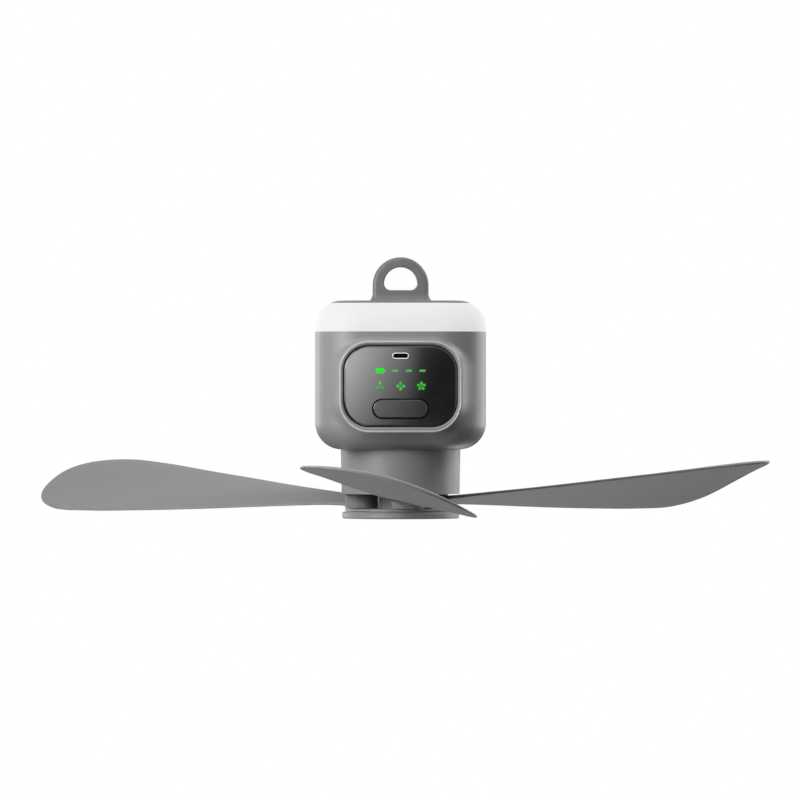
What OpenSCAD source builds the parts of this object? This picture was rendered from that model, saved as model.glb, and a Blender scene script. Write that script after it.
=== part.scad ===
// Hanging rechargeable camping fan with a lamp ring and three swing-out blades.
// Millimetres, +Z up. The fan hangs with its origin at the top of the eye of its loop,
// the control panel faces -Y and the rotor turns about Z.
// Heights named *_h are measured up from the underside of the rotor's cover.

/* [Case] */
// Width of the case
case_w = 94; // [84:1:120]
// Depth of the case
case_d = 94; // [84:1:120]
// Radius of the case's upright corners
case_corner = 25; // [20:0.5:32]
// Radius of the case's rounded bottom and top edges
case_edge = 14.6; // [10:0.2:18]
// Height of the case's front below the panel
panel_below = 12.5; // [11:0.1:20]
// Height of the case's front above the panel, up to the lamp ring
panel_above = 7.6; // [7.4:0.1:14]
// Height of the lamp ring
lamp_h = 15.8; // [14:0.1:24]
// Height of the cap above the lamp ring
cap_h = 1.3; // [1:0.1:2]
// Wall of the lower case
wall = 2.4; // [1.6:0.1:3]
// Wall of the lamp ring
lamp_wall = 2.2; // [1.4:0.1:3]

/* [Loop] */
// Radius of the top of the hanging loop
loop_r = 15.5; // [14:0.1:20]
// Height of the loop above the cap
loop_rise = 24.2; // [22:0.1:32]
// Thickness of the loop from front to back
loop_t = 8; // [7:0.1:12]
// Rounding of the loop's edges
loop_edge_r = 2.2; // [0.8:0.1:2.4]
// Material above the eye
eye_bridge = 5.5; // [4:0.1:7]
// Radius of the top of the eye
eye_r = 9.1; // [7:0.1:10]
// Height of the eye's upright part, which is the radius of its lower corners
eye_corner = 3.6; // [2:0.1:4]
// Rounding of the eye's edges
eye_round = 0.6; // [0.3:0.1:1]

/* [Panel] */
// Width of the control panel
panel_w = 62.3; // [58:0.1:66]
// Height of the control panel
panel_l = 44.6; // [42:0.1:48]
// Radius of the panel's corners
panel_corner = 14.2; // [10:0.1:18]
// Thickness of the panel
panel_t = 2.4; // [2:0.1:3.4]
// Rounding of the panel's front edge
panel_edge = 1.1; // [0.5:0.1:1.4]
// How far the panel stands out from the case's front
panel_proud = 0.9; // [0:0.1:1]
// Width of the sloping rim beside the panel
rim_w = 6.8; // [6.4:0.1:7.2]
// How far the rim's crest stands out from the case's front
rim_proud = 1.3; // [0.8:0.1:1.8]
// Slope of the rim's outer side, in degrees
rim_slope = 60; // [57:1:64]
// Rounding of the rim's crest
rim_lip = 1; // [0.8:0.1:1.6]

/* [Port and button] */
// Width of the charging port's shell
port_w = 8.94; // [8.94:0.01:8.94]
// Height of the charging port's shell
port_l = 3.26; // [3.26:0.01:3.26]
// Sheet of the port's shell
port_wall = 0.35; // [0.2:0.01:0.35]
// Distance of the port's middle below the panel's upper edge
port_down = 5.7; // [4.6:0.1:6.6]
// Width of the button
button_w = 30.2; // [24:0.1:34]
// Height of the button
button_l = 10.1; // [7:0.1:12]
// Travel of the button
button_travel = 0.6; // [0.4:0.1:0.8]
// Distance of the button's middle above the panel's lower edge
button_up = 9.8; // [9:0.1:11]
// Gap round the button
button_gap = 0.6; // [0.3:0.05:0.8]

/* [Indicators] */
// Distance of the charge row above the panel's middle
charge_up = 8.4; // [7.6:0.1:9.4]
// Spacing of the charge row's bars
charge_step = 7.5; // [6.5:0.1:8]
// Width of one charge bar
bar_w = 3.5; // [3:0.1:5]
// Height of one charge bar
bar_l = 1.2; // [1:0.1:2]
// Spacing of the speed symbols
speed_step = 11.4; // [9:0.1:13]
// Radius of a speed symbol
speed_r = 2.5; // [2:0.1:3.2]

/* [Neck and motor] */
// Radius of the motor neck at the case
neck_top_r = 33.1; // [31:0.1:36]
// Radius of the motor neck at its open end
neck_end_r = 32.6; // [31:0.1:36]
// Length of the motor neck
neck_h = 24.7; // [24:0.1:34]
// Wall of the motor neck
neck_wall = 2; // [1.4:0.1:2.2]
// Radius of the motor shaft
shaft_r = 2.5; // [2:0.1:3]
// Outer radius of the stator
stator_r = 21.6; // [20:0.1:22.4]
// Height of the stator stack
stator_h = 9; // [6:0.1:10]
// Number of stator teeth and coils
teeth = 9; // [6:3:12]
// Number of rotor magnets
magnets = 12; // [8:2:16]
// Outer radius of the motor can
can_r = 27.4; // [26.5:0.1:28.4]
// Wall of the motor can
can_wall = 1.6; // [1:0.1:1.8]
// Thickness of the rotor magnets
magnet_t = 2.8; // [1.5:0.1:3]

/* [Rotor] */
// Radius of the rotor's cover
cover_r = 32.3; // [31:0.1:36]
// Height of the rotor's cover
cover_h = 3.6; // [3.2:0.1:5]
// Radius of the lower blade plate
plate_r = 30.8; // [29:0.1:34]
// Thickness of the lower blade plate
plate_t = 1.8; // [1.4:0.1:3]
// Radius of the rotor's core
core_r = 12; // [9:0.1:12.4]
// Height of the space between the blade plates
slot_h = 8; // [7:0.1:10]
// Radius of the circle of blade pivots
pivot_ring_r = 22.7; // [22:0.1:25]
// Radius of a blade pivot pin
pin_r = 2; // [1.5:0.1:2.5]

/* [Blades] */
// Distance of the blade tips from the rotor's axis
reach = 224; // [150:1:260]
// Widest part of a blade on its lower, leading side
lead_w = 41; // [30:0.5:50]
// Widest part of a blade on its higher, trailing side
trail_w = 50; // [36:0.5:60]
// Radius of the barrel at a blade's root
barrel_r = 9.4; // [8:0.1:10]
// Angle of a blade's pivot ahead of the blade's middle line
pivot_lead = 11.5; // [6:0.5:14]
// Direction of the first blade, seen from above
blade_az = 269.5; // [0:0.5:360]
// Thickness of a blade
blade_t = 1.4; // [1.2:0.1:2]
// Added thickness of a blade at its root
root_t = 0.8; // [0:0.1:1]
// Slope across a blade at its root
pitch = 0.2177; // [0.12:0.001:0.24]
// Slope gained across a blade from its root to its tip
twist = 0.086; // [0:0.001:0.12]
// Slope along a blade at its root
rise = 0.029; // [0:0.001:0.04]
// Upward curl of a blade at its tip
curl_h = 6.7; // [0:0.1:12]

/* [Battery] */
// Radius of a battery cell
cell_r = 9.2; // [9.2:0.05:9.2]
// Length of a battery cell
cell_len = 65; // [65:0.5:65]

/* [Fasteners and clearances] */
// Radius of the case screws' shanks
screw_r = 1.5; // [1.2:0.1:1.6]
// Running clearance round a pin or shaft
running_gap = 0.05; // [0.02:0.01:0.1]
// Clearance round pieces that drop into place
fit_gap = 0.2; // [0.1:0.05:0.3]
// Clearance between a blade's barrel and the plates
barrel_gap = 0.2; // [0.1:0.05:0.3]

/* [Hidden] */
$fn = 64;
eps = 0.01;

// Heights of the stack, from the underside of the rotor's cover
plate_base_h = cover_h;
slot_base_h = plate_base_h + plate_t;
slot_top_h = slot_base_h + slot_h;
neck_lap = 0.2;
neck_base_h = slot_top_h + neck_lap;
case_base_h = neck_base_h + neck_h;
floor_top_h = case_base_h + wall;
panel_h = case_base_h + panel_below + panel_l / 2;
seam_h = panel_h + panel_l / 2 + panel_above;
cap_base_h = seam_h + lamp_h;
case_top_h = cap_base_h + cap_h;
loop_top_h = case_top_h + loop_rise;
eye_top_h = loop_top_h - eye_bridge;
eye_mid_h = eye_top_h - eye_r;

// Colours
body_grey = [0.45, 0.45, 0.46];
cap_grey = [0.38, 0.38, 0.39];
panel_black = [0.07, 0.07, 0.08];
lamp_white = [0.93, 0.94, 0.94];
signal_green = [0.1, 0.85, 0.15];
board_green = [0.1, 0.35, 0.2];
bright_metal = [0.78, 0.78, 0.8];
copper = [0.75, 0.42, 0.2];

// Depth of the battery pack, which stands between the case's posts
cell_gap = 0.8;
cell_step = 2 * cell_r + cell_gap;
holder_wall = 1.6;
holder_d = 2 * cell_step + 2 * holder_wall - cell_gap;

// Places of the case screws, which also tie the housing's posts to the cap's bosses
post_r = 4.2;
post_inset = 20;
post_gap = 2.4;
post_x = case_w / 2 - post_inset;
post_y = holder_d / 2 + post_gap + post_r;
head_r = 2.8;
head_h = 2.4;
reflector_t = 1.6;
reflector_top_h = seam_h;
post_top_h = reflector_top_h - reflector_t;
post_seat_t = 9;
head_seat_h = post_top_h - post_seat_t;

// Seat of the cap in the lamp ring
cap_lap = 1.6;
cap_seat_h = cap_base_h - cap_lap;
cap_drop = case_edge - cap_h;
cap_half_cut = case_edge - sqrt(case_edge * case_edge - cap_drop * cap_drop);
lamp_roof_t = 2.2;
boss_r = 3.6;
skirt_over = 3;
skirt_corner = 12;
skirt_t = 1.8;
skirt_h = 4;

// Layers behind the front wall, as distances in from the case's front
panel_back = panel_t - panel_proud;
ledge_t = 1.8;
ledge_back = panel_back + ledge_t;
rim_reach = max(0, panel_w / 2 + rim_w - (case_w / 2 - case_corner));
rim_root = case_corner - sqrt(case_corner * case_corner - rim_reach * rim_reach) + wall / 2;
rim_clear = 0.5;
port_up = panel_l / 2 - port_down;
button_down = panel_l / 2 - button_up;
board_behind = 6.4;
board_front = panel_back + board_behind;
board_t = 1.2;
board_w = panel_w - 2;
board_l = panel_l - 1;
board_screw_bite = 4;
board_corner = 3;
board_post_r = 2.4;
board_post_x = board_w / 2 - 4;
board_post_z = board_l / 2 - 4;
ledge_w = 5;

// ---- Shared shapes ----------------------------------------------------------

// Moves heights above the rotor's underside into the frame of the hanging eye
module from_eye() {
  translate([0, 0, -eye_top_h]) children();
}

// Puts a shape drawn as (x, height) and depth inwards on the front wall
module on_front(up = 0, in = 0) {
  translate([0, in - case_d / 2, panel_h + up]) rotate([90, 0, 0]) children();
}

// Repeats its children at the four case posts
module at_posts() {
  for (x = [-post_x, post_x], y = [-post_y, post_y]) translate([x, y, 0]) children();
}

// Sweeps a half profile, drawn from the corner's centre outwards, round a rectangle
// with rounded corners, and fills the middle between the profile's two heights
module sweep_round(w, d, corner, low, high) {
  flat_x = w - 2 * corner;
  flat_y = d - 2 * corner;
  for (q = [[1, 1, 0], [-1, 1, 90], [-1, -1, 180], [1, -1, 270]])
    translate([q[0] * flat_x / 2, q[1] * flat_y / 2, 0])
      rotate(q[2]) rotate_extrude(angle = 90) children();
  if (flat_y > 0)
    for (turn = [0, 180])
      rotate(turn) translate([flat_x / 2, 0, 0])
        rotate([90, 0, 0]) linear_extrude(flat_y, center = true) children();
  for (turn = [0, 180])
    rotate(turn) translate([0, flat_y / 2, 0])
      rotate([90, 0, 90]) linear_extrude(flat_x, center = true) children();
  if (flat_y > 0)
    translate([-flat_x / 2, -flat_y / 2, low]) cube([flat_x, flat_y, high - low]);
}

// The corner of a profile that a rounded edge takes away, at the profile's outer end
module edge_cut(reach_x, height, r, side) {
  difference() {
    translate([reach_x - r, side > 0 ? height - r : height - 1]) square(r + 1);
    translate([reach_x - r, height - side * r]) circle(r);
  }
}

// A half profile with its outer low and high edges rounded
module edge_profile(reach_x, low, high, low_r, high_r) {
  difference() {
    translate([0, low]) square([reach_x, high - low]);
    if (low_r > 0) edge_cut(reach_x, low, low_r, -1);
    if (high_r > 0) edge_cut(reach_x, high, high_r, 1);
  }
}

// A block with rounded upright corners and rounded low and high edges
module soft_block(w, d, corner, low, high, low_r = 0, high_r = 0) {
  sweep_round(w, d, corner, low, high)
    edge_profile(corner, low, high, low_r, high_r);
}

// A flat outline with rounded corners
module round_rect(w, d, corner) {
  square([w - 2 * corner, d], center = true);
  square([w, d - 2 * corner], center = true);
  for (x = [-1, 1], y = [-1, 1])
    translate([x * (w / 2 - corner), y * (d / 2 - corner)]) circle(corner);
}

// A bar with round ends
module pill(w, d) {
  square([w - d, d], center = true);
  for (x = [-1, 1]) translate([x * (w - d) / 2, 0]) circle(d / 2);
}

// ---- Case --------------------------------------------------------------------

// The outer form of the whole case, grown inwards by the wall
module case_form(inset, low, high) {
  soft_block(case_w - 2 * inset, case_d - 2 * inset, case_corner - inset,
    low, high, case_edge - inset, case_edge - inset);
}

// The outer form cut to one layer of the case
module case_layer(low, high) {
  intersection() {
    case_form(0, case_base_h, case_top_h);
    translate([0, 0, low]) linear_extrude(high - low) square([2 * case_w, 2 * case_d], center = true);
  }
}

// Clears the inside of a layer that stays open at its top
module case_hollow(inset, low, high) {
  soft_block(case_w - 2 * inset, case_d - 2 * inset, case_corner - inset,
    low, high, case_edge - inset, 0);
}

// Reach of the rim's slope from its crest, at a depth behind the case's front
function rim_slope_x(depth) = rim_lip * sin(rim_slope)
  + (depth + rim_proud - rim_lip + rim_lip * cos(rim_slope)) / tan(rim_slope);

// The rim: a rounded crest round the recess, and a slope that runs out into the case
module rim() {
  crest_r = panel_corner + fit_gap + rim_lip;
  crest = rim_root + rim_proud;
  shoulder = crest - rim_lip;
  crest_off = 2 * (fit_gap + rim_lip);
  sweep_round(panel_w + crest_off, panel_l + crest_off, crest_r, 0, crest) {
    translate([crest_r, shoulder]) circle(rim_lip);
    polygon([
      [0, 0], [0, crest], [crest_r, crest],
      [crest_r + rim_lip * sin(rim_slope), shoulder + rim_lip * cos(rim_slope)],
      [crest_r + rim_slope_x(rim_root), 0],
    ]);
  }
}

// Clears the rim's slope from behind the ledge, down to the thickness of the wall
module rim_relief() {
  crest_r = panel_corner + fit_gap + rim_lip;
  crest_off = 2 * (fit_gap + rim_lip);
  back = rim_root + 1;
  inner_r = crest_r - wall / sin(rim_slope);
  on_front(in = back)
    sweep_round(panel_w + crest_off, panel_l + crest_off, crest_r, 0, back - ledge_back)
      polygon([
        [0, 0], [0, back - ledge_back],
        [inner_r + rim_slope_x(ledge_back), back - ledge_back], [inner_r + rim_slope_x(back), 0],
      ]);
}

// The recess that holds the panel, with its front edge rounded outwards
module panel_recess() {
  edge_r = panel_corner + fit_gap;
  front = panel_back + rim_proud;
  sweep_round(panel_w + 2 * fit_gap, panel_l + 2 * fit_gap, edge_r, 0, front + rim_lip) {
    square([edge_r, front + rim_lip]);
    difference() {
      translate([edge_r - eps, front - rim_lip]) square([rim_lip + eps, 2 * rim_lip]);
      translate([edge_r + rim_lip, front - rim_lip]) circle(rim_lip);
    }
  }
}

// The case's walls with the rim and the ledge that carries the panel
module case_walls() {
  difference() {
    union() {
      difference() {
        case_layer(case_base_h, seam_h);
        case_hollow(wall, floor_top_h, seam_h + 1);
      }
      intersection() {
        on_front(in = rim_root) rim();
        linear_extrude(post_top_h - rim_clear) square([2 * case_w, 2 * case_d], center = true);
      }
      on_front(in = ledge_back) linear_extrude(ledge_back - eps)
        round_rect(panel_w + ledge_w, panel_l + ledge_w, panel_corner + ledge_w / 2);
    }
    on_front(in = panel_back) panel_recess();
    on_front(in = ledge_back + 1) linear_extrude(ledge_back + 2)
      round_rect(panel_w - ledge_w, panel_l - ledge_w, panel_corner - ledge_w / 2);
    rim_relief();
  }
}

module main_housing() {
  color(body_grey) from_eye() difference() {
    union() {
      case_walls();
      at_board_posts() linear_extrude(board_front - panel_back) circle(board_post_r);
      intersection() {
        at_posts() translate([0, 0, case_base_h]) cylinder(post_top_h - case_base_h, post_r, post_r);
        case_form(wall / 2, case_base_h + wall / 2, case_top_h);
      }
    }
    at_posts() {
      translate([0, 0, case_base_h - 1]) cylinder(head_seat_h - case_base_h + 1, head_r + fit_gap, head_r + fit_gap);
      translate([0, 0, head_seat_h - 1]) cylinder(post_seat_t + 2, screw_r + fit_gap, screw_r + fit_gap);
    }
    translate([0, 0, case_base_h - 1]) cylinder(wall + 2, wire_hole_r, wire_hole_r);
    at_motor_screws() translate([0, 0, case_base_h - 1])
      cylinder(wall + 2, screw_r + fit_gap, screw_r + fit_gap);
    at_board_posts() translate([0, 0, -1]) linear_extrude(board_screw_bite + 1.5) circle(board_screw_r);
  }
}

module case_screws() {
  color(bright_metal) from_eye() at_posts() difference() {
    union() {
      translate([0, 0, head_seat_h - head_h]) cylinder(head_h, head_r, head_r);
      translate([0, 0, head_seat_h - head_h]) cylinder(head_h + case_screw_len, screw_r, screw_r);
    }
    translate([0, 0, head_seat_h - head_h - eps]) cylinder(1.2, 1.4, 1.4, $fn = 6);
  }
}
case_screw_bite = 8;
case_screw_len = post_seat_t + reflector_t + case_screw_bite;

// ---- Hanging cap ---------------------------------------------------------------

// The loop's round top, with rounded edges
module loop_arch() {
  translate([0, 0, loop_top_h - loop_r]) rotate([90, 0, 0]) rotate_extrude()
    intersection() {
      translate([0, -loop_t / 2]) edge_profile(loop_r, 0, loop_t, loop_edge_r, loop_edge_r);
      translate([0, -loop_t]) square([loop_r, 2 * loop_t]);
    }
}

// The loop's legs, with rounded edges and a flare where they meet the cap
flare_r = 6;
flare_w = 1.8;
module loop_legs() {
  leg_base_h = cap_seat_h + cap_lap / 2;
  flare_top_h = case_top_h + sqrt(flare_r * flare_r - (flare_r - flare_w) * (flare_r - flare_w));
  translate([0, 0, leg_base_h]) linear_extrude(loop_top_h - loop_r - leg_base_h)
    round_rect(2 * loop_r, loop_t, loop_edge_r);
  sweep_round(2 * (loop_r + flare_w), loop_t + 2 * flare_w, loop_edge_r + flare_w, leg_base_h, flare_top_h)
    difference() {
      translate([0, leg_base_h]) square([loop_edge_r + flare_w, flare_top_h - leg_base_h]);
      translate([loop_edge_r + flare_r, flare_top_h]) circle(flare_r);
    }
}

// The eye's outline: round above, with rounded lower corners
module eye_outline() {
  intersection() {
    circle(eye_r);
    translate([-2 * eye_r, 0]) square([4 * eye_r, 2 * eye_r]);
  }
  translate([0, -eye_corner / 2]) square([2 * (eye_r - eye_corner), eye_corner], center = true);
  for (side = [-1, 1]) intersection() {
    translate([side * (eye_r - eye_corner), 0]) circle(eye_corner);
    translate([-2 * eye_r, -2 * eye_r]) square([4 * eye_r, 2 * eye_r]);
  }
}

// The rounding of the eye's edge, drawn from the centre of an arc of a given radius
module eye_flare(edge_r) {
  difference() {
    translate([edge_r - eps, loop_t / 2 - eye_round]) square(eye_round + eps);
    translate([edge_r + eye_round, loop_t / 2 - eye_round]) circle(eye_round);
  }
}

module loop_eye() {
  corner_x = eye_r - eye_corner;
  translate([0, 0, eye_mid_h]) rotate([90, 0, 0]) {
    linear_extrude(2 * loop_t, center = true) eye_outline();
    for (turn = [0, 180]) rotate([0, turn, 0]) {
      rotate_extrude(angle = 180) eye_flare(eye_r);
      translate([corner_x, 0, 0]) rotate(-90) rotate_extrude(angle = 90) eye_flare(eye_corner);
      translate([-corner_x, 0, 0]) rotate(180) rotate_extrude(angle = 90) eye_flare(eye_corner);
      rotate([90, 0, -90]) linear_extrude(2 * corner_x, center = true) eye_flare(eye_corner);
    }
  }
}

// The outline of the skirt that centres the cap in the lamp ring, grown by a given amount
module skirt_outline(grow) {
  round_rect(2 * (post_x + skirt_over + grow), 2 * (post_y + skirt_over + grow), skirt_corner + grow);
}

module cap_slab() {
  cap_w = case_w - 2 * cap_half_cut;
  cap_d = case_d - 2 * cap_half_cut;
  intersection() {
    case_layer(cap_seat_h, case_top_h);
    translate([0, 0, cap_seat_h]) linear_extrude(cap_lap + cap_h)
      round_rect(cap_w, cap_d, case_corner - cap_half_cut);
  }
}

module top_cap() {
  color(cap_grey) from_eye() difference() {
    union() {
      cap_slab();
      loop_arch();
      loop_legs();
      difference() {
        translate([0, 0, cap_seat_h - skirt_h]) linear_extrude(skirt_h + eps) skirt_outline(0);
        translate([0, 0, cap_seat_h - skirt_h - 1]) linear_extrude(skirt_h + 1) skirt_outline(-skirt_t);
      }
      at_posts() translate([0, 0, reflector_top_h])
        cylinder(cap_seat_h + cap_lap / 2 - reflector_top_h, boss_r, boss_r);
    }
    loop_eye();
    at_posts() translate([0, 0, reflector_top_h - 1]) cylinder(cap_seat_h - reflector_top_h, screw_r, screw_r);
  }
}

// ---- Lamp ---------------------------------------------------------------------

module lamp_diffuser() {
  inner_top_h = cap_seat_h - lamp_roof_t;
  color(lamp_white) from_eye() difference() {
    case_layer(seam_h, cap_base_h);
    soft_block(case_w - 2 * lamp_wall, case_d - 2 * lamp_wall, case_corner - lamp_wall,
      seam_h - case_edge, inner_top_h, 0, case_edge - lamp_wall);
    translate([0, 0, cap_seat_h]) linear_extrude(cap_lap + 1)
      round_rect(case_w - 2 * cap_half_cut + fit_gap, case_d - 2 * cap_half_cut + fit_gap,
        case_corner - cap_half_cut + fit_gap / 2);
    translate([0, 0, inner_top_h - 1]) linear_extrude(lamp_roof_t + 2) skirt_outline(fit_gap);
    at_posts() translate([0, 0, inner_top_h - 1])
      cylinder(lamp_roof_t + 2, boss_r + fit_gap, boss_r + fit_gap);
  }
}

lamp_inset = wall + fit_gap;
lamp_board_margin = 5.4;
lamp_board_x = post_x + boss_r + lamp_board_margin;
lamp_board_y = post_y + boss_r + lamp_board_margin;
lamp_board_corner = 14;
lamp_board_hole_r = 16;
lamp_board_t = 1.6;
led_w = 3;
led_t = 0.8;
led_step = 11;

module lamp_reflector() {
  color(lamp_white) from_eye() difference() {
    translate([0, 0, post_top_h]) linear_extrude(reflector_t)
      round_rect(case_w - 2 * lamp_inset, case_d - 2 * lamp_inset, case_corner - lamp_inset);
    at_posts() translate([0, 0, post_top_h - 1])
      cylinder(reflector_t + 2, screw_r + fit_gap, screw_r + fit_gap);
    translate([0, 0, post_top_h - 1]) cylinder(reflector_t + 2, 5, 5);
  }
}

module lamp_board() {
  color(lamp_white) from_eye() difference() {
    translate([0, 0, reflector_top_h]) linear_extrude(lamp_board_t)
      round_rect(2 * lamp_board_x, 2 * lamp_board_y, lamp_board_corner);
    at_posts() translate([0, 0, reflector_top_h - 1])
      cylinder(lamp_board_t + 2, boss_r + fit_gap, boss_r + fit_gap);
    translate([0, 0, reflector_top_h - 1])
      cylinder(lamp_board_t + 2, lamp_board_hole_r, lamp_board_hole_r);
  }
}

module lamp_leds() {
  color([1, 0.93, 0.6]) from_eye()
    for (turn = [0:90:270], k = [-1.5:1:1.5])
      rotate(turn) translate([(turn % 180 == 0 ? lamp_board_x : lamp_board_y) - led_w, k * led_step,
        reflector_top_h + lamp_board_t + led_t / 2]) cube([led_w, led_w + 0.5, led_t], center = true);
}

// ---- Control panel --------------------------------------------------------------

port_front = 0.1;
board_screw_r = 0.8;

// Repeats its children on the four posts behind the panel, pointing forwards
module at_board_posts() {
  for (x = [-board_post_x, board_post_x], z = [-board_post_z, board_post_z])
    on_front(in = board_front, up = z) translate([x, 0, 0]) children();
}

// Places of the charge row: the battery symbol first, then the bars
battery_extra = 0.9;
function charge_x(k) = (k - 1.4) * charge_step - (k == 0 ? battery_extra : 0);

module battery_symbol(grow) {
  square([4.3 + 2 * grow, 2.8 + 2 * grow], center = true);
  translate([2.4, 0]) square([1 + 2 * grow, 1.4 + 2 * grow], center = true);
}

module charge_symbols(grow) {
  translate([charge_x(0), 0]) battery_symbol(grow);
  for (k = [1:3]) translate([charge_x(k), 0]) pill(bar_w + 2 * grow, bar_l + 2 * grow);
}

// A fan symbol: drop-shaped blades, narrow towards the middle
module fan_symbol(blades, grow) {
  petal_r = speed_r * (blades == 3 ? 0.3 : blades == 4 ? 0.34 : 0.32);
  petal_x = speed_r - petal_r;
  root_x = speed_r * 0.16 - grow;
  for (k = [0:blades - 1]) rotate(90 + k * 360 / blades) {
    translate([petal_x, 0]) circle(petal_r + grow);
    polygon([[root_x, -0.14 - grow], [petal_x, -petal_r - grow], [petal_x, petal_r + grow], [root_x, 0.14 + grow]]);
  }
}

module speed_symbols(grow) {
  for (k = [0:2]) translate([(k - 1) * speed_step, 0]) fan_symbol(3 + k, grow);
}

module control_panel() {
  color(panel_black) from_eye() difference() {
    on_front(in = panel_back) soft_block(panel_w, panel_l, panel_corner, 0, panel_t, 0, panel_edge);
    on_front(in = panel_back + 1, up = port_up) linear_extrude(panel_t + 2)
      pill(port_w + fit_gap, port_l + fit_gap);
    on_front(in = panel_back + 1, up = -button_down) linear_extrude(panel_t + 2)
      pill(button_w + 2 * button_gap, button_l + 2 * button_gap);
    on_front(in = panel_back + 1, up = charge_up) linear_extrude(panel_t + 2) charge_symbols(0);
    on_front(in = panel_back + 1) linear_extrude(panel_t + 2) speed_symbols(0);
  }
}

// A light guide: its symbols stand up through the panel from a strip behind it
guide_t = 1;
guide_gap = 0.04;
module light_guide(w, l) {
  on_front_row(guide_t) linear_extrude(guide_t) pill(w, l);
  on_front_row(0) linear_extrude(panel_t - 0.1) children();
}

module on_front_row(behind) {
  translate([0, behind + panel_back, 0]) rotate([90, 0, 0]) children();
}

module battery_icons() {
  color(signal_green) from_eye() translate([0, -case_d / 2, panel_h + charge_up])
    light_guide(4 * charge_step, 5) charge_symbols(-guide_gap);
}

module speed_icons() {
  color(signal_green) from_eye() translate([0, -case_d / 2, panel_h])
    light_guide(3 * speed_step, 6.4) speed_symbols(-guide_gap);
}

module port_shell() {
  shell_len = board_front - (port_front - panel_proud);
  color(bright_metal) from_eye() on_front(in = board_front, up = port_up) difference() {
    linear_extrude(shell_len) pill(port_w, port_l);
    translate([0, 0, 1]) linear_extrude(shell_len) pill(port_w - 2 * port_wall, port_l - 2 * port_wall);
  }
}

tongue_w = 6.7;
module port_tongue() {
  color(panel_black) from_eye() on_front(in = board_front - 1, up = port_up) {
    linear_extrude(1.4) pill(port_w - 2 * port_wall, port_l - 2 * port_wall);
    translate([0, 0, 3.2]) cube([tongue_w, 0.7, 4], center = true);
  }
}

flange_t = 0.8;
flange_gap = 0.25;
flange_w = 1.3;
switch_l = 6;
switch_h = 2.2;
stem_h = 0.9;
module button_cap() {
  cap_front = panel_t + 0.1;
  flange_back = panel_back + flange_gap + flange_t;
  stem_back = board_front - switch_h - stem_h - button_travel - 0.1;
  color(panel_black) from_eye() union() {
    on_front(in = panel_back, up = -button_down)
      soft_block(button_w, button_l, button_l / 2, -flange_gap - eps, cap_front, 0, 0.6);
    on_front(in = flange_back, up = -button_down) linear_extrude(flange_t)
      pill(button_w + 2 * (button_gap + flange_w), button_l + 2 * (button_gap + flange_w));
    on_front(in = stem_back, up = -button_down) linear_extrude(stem_back - panel_back) circle(2);
  }
}

module tact_switch() {
  color(panel_black) from_eye() on_front(in = board_front, up = -button_down) {
    translate([0, 0, switch_h / 2]) cube([switch_l, switch_l, switch_h], center = true);
    linear_extrude(switch_h + stem_h) circle(1.7);
  }
}

module indicator_leds() {
  color(lamp_white) from_eye() {
    for (k = [0:3]) on_front(in = board_front, up = charge_up) translate([charge_x(k), 0, 0.35])
      cube([1.6, 1.2, 0.7], center = true);
    for (k = [0:2]) on_front(in = board_front) translate([(k - 1) * speed_step, 0, 0.35])
      cube([1.6, 1.2, 0.7], center = true);
  }
}

module control_board() {
  color(board_green) from_eye() difference() {
    on_front(in = board_front + board_t) linear_extrude(board_t)
      round_rect(board_w, board_l, board_corner);
    at_board_posts() translate([0, 0, -2 * board_t]) linear_extrude(4 * board_t) circle(board_screw_r + 0.2);
  }
}

module board_screws() {
  color(bright_metal) from_eye() at_board_posts() {
    translate([0, 0, -board_t - 1.2]) linear_extrude(1.2) circle(1.9);
    translate([0, 0, -board_t - 0.1]) linear_extrude(board_t + board_screw_bite) circle(board_screw_r);
  }
}

// ---- Battery ---------------------------------------------------------------------

holder_base_h = floor_top_h + 3.4;
holder_len = cell_len - 6;
cell_low_h = holder_base_h + holder_wall + cell_r;
holder_top_h = cell_low_h + cell_step + cell_r + holder_wall;
cell_play = 0.1;
holder_end = 8;
holder_rail = 4;
board_seat_h = holder_top_h + 2;
foot_inset = 4.5;
foot_r = 2.6;
pilot_r = 0.9;
pilot_len = 6;

module at_cells() {
  for (y = [-0.5, 0.5], z = [0, 1])
    translate([0, y * cell_step, cell_low_h + z * cell_step]) rotate([0, 90, 0]) children();
}

module battery_cells() {
  color([0.2, 0.45, 0.6]) from_eye() at_cells() {
    cylinder(cell_len - 1.4, cell_r, cell_r, center = true);
    cylinder(cell_len, cell_r * 0.45, cell_r * 0.45, center = true);
  }
}

// Repeats its children at the holder's four feet, which also carry the main board
module at_feet() {
  for (x = [-1, 1], y = [-1, 1])
    translate([x * (holder_len / 2 - foot_inset), y * (holder_d / 2 - foot_inset), 0]) children();
}

module battery_holder() {
  holder_mid_h = (holder_base_h + holder_top_h) / 2;
  holder_h = holder_top_h - holder_base_h;
  color(body_grey) from_eye() difference() {
    union() {
      translate([0, 0, holder_mid_h]) cube([holder_len, holder_d, holder_h], center = true);
      at_feet() translate([0, 0, floor_top_h]) cylinder(board_seat_h - floor_top_h, foot_r, foot_r);
    }
    at_cells() cylinder(holder_len + 2, cell_r + cell_play, cell_r + cell_play, center = true);
    translate([0, 0, holder_mid_h])
      cube([holder_len - 2 * holder_end, holder_d + 2, holder_h - 2 * holder_rail], center = true);
    at_feet() translate([0, 0, board_seat_h - pilot_len]) cylinder(pilot_len + 1, pilot_r, pilot_r);
  }
}

module battery_tabs() {
  tab_t = 0.3;
  tab_w = 8;
  color(bright_metal) from_eye()
    for (x = [-1, 1], z = [0, 1])
      translate([x * (cell_len + tab_t) / 2, 0, cell_low_h + z * cell_step])
        cube([tab_t, cell_step + tab_w, tab_w], center = true);
}

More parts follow.
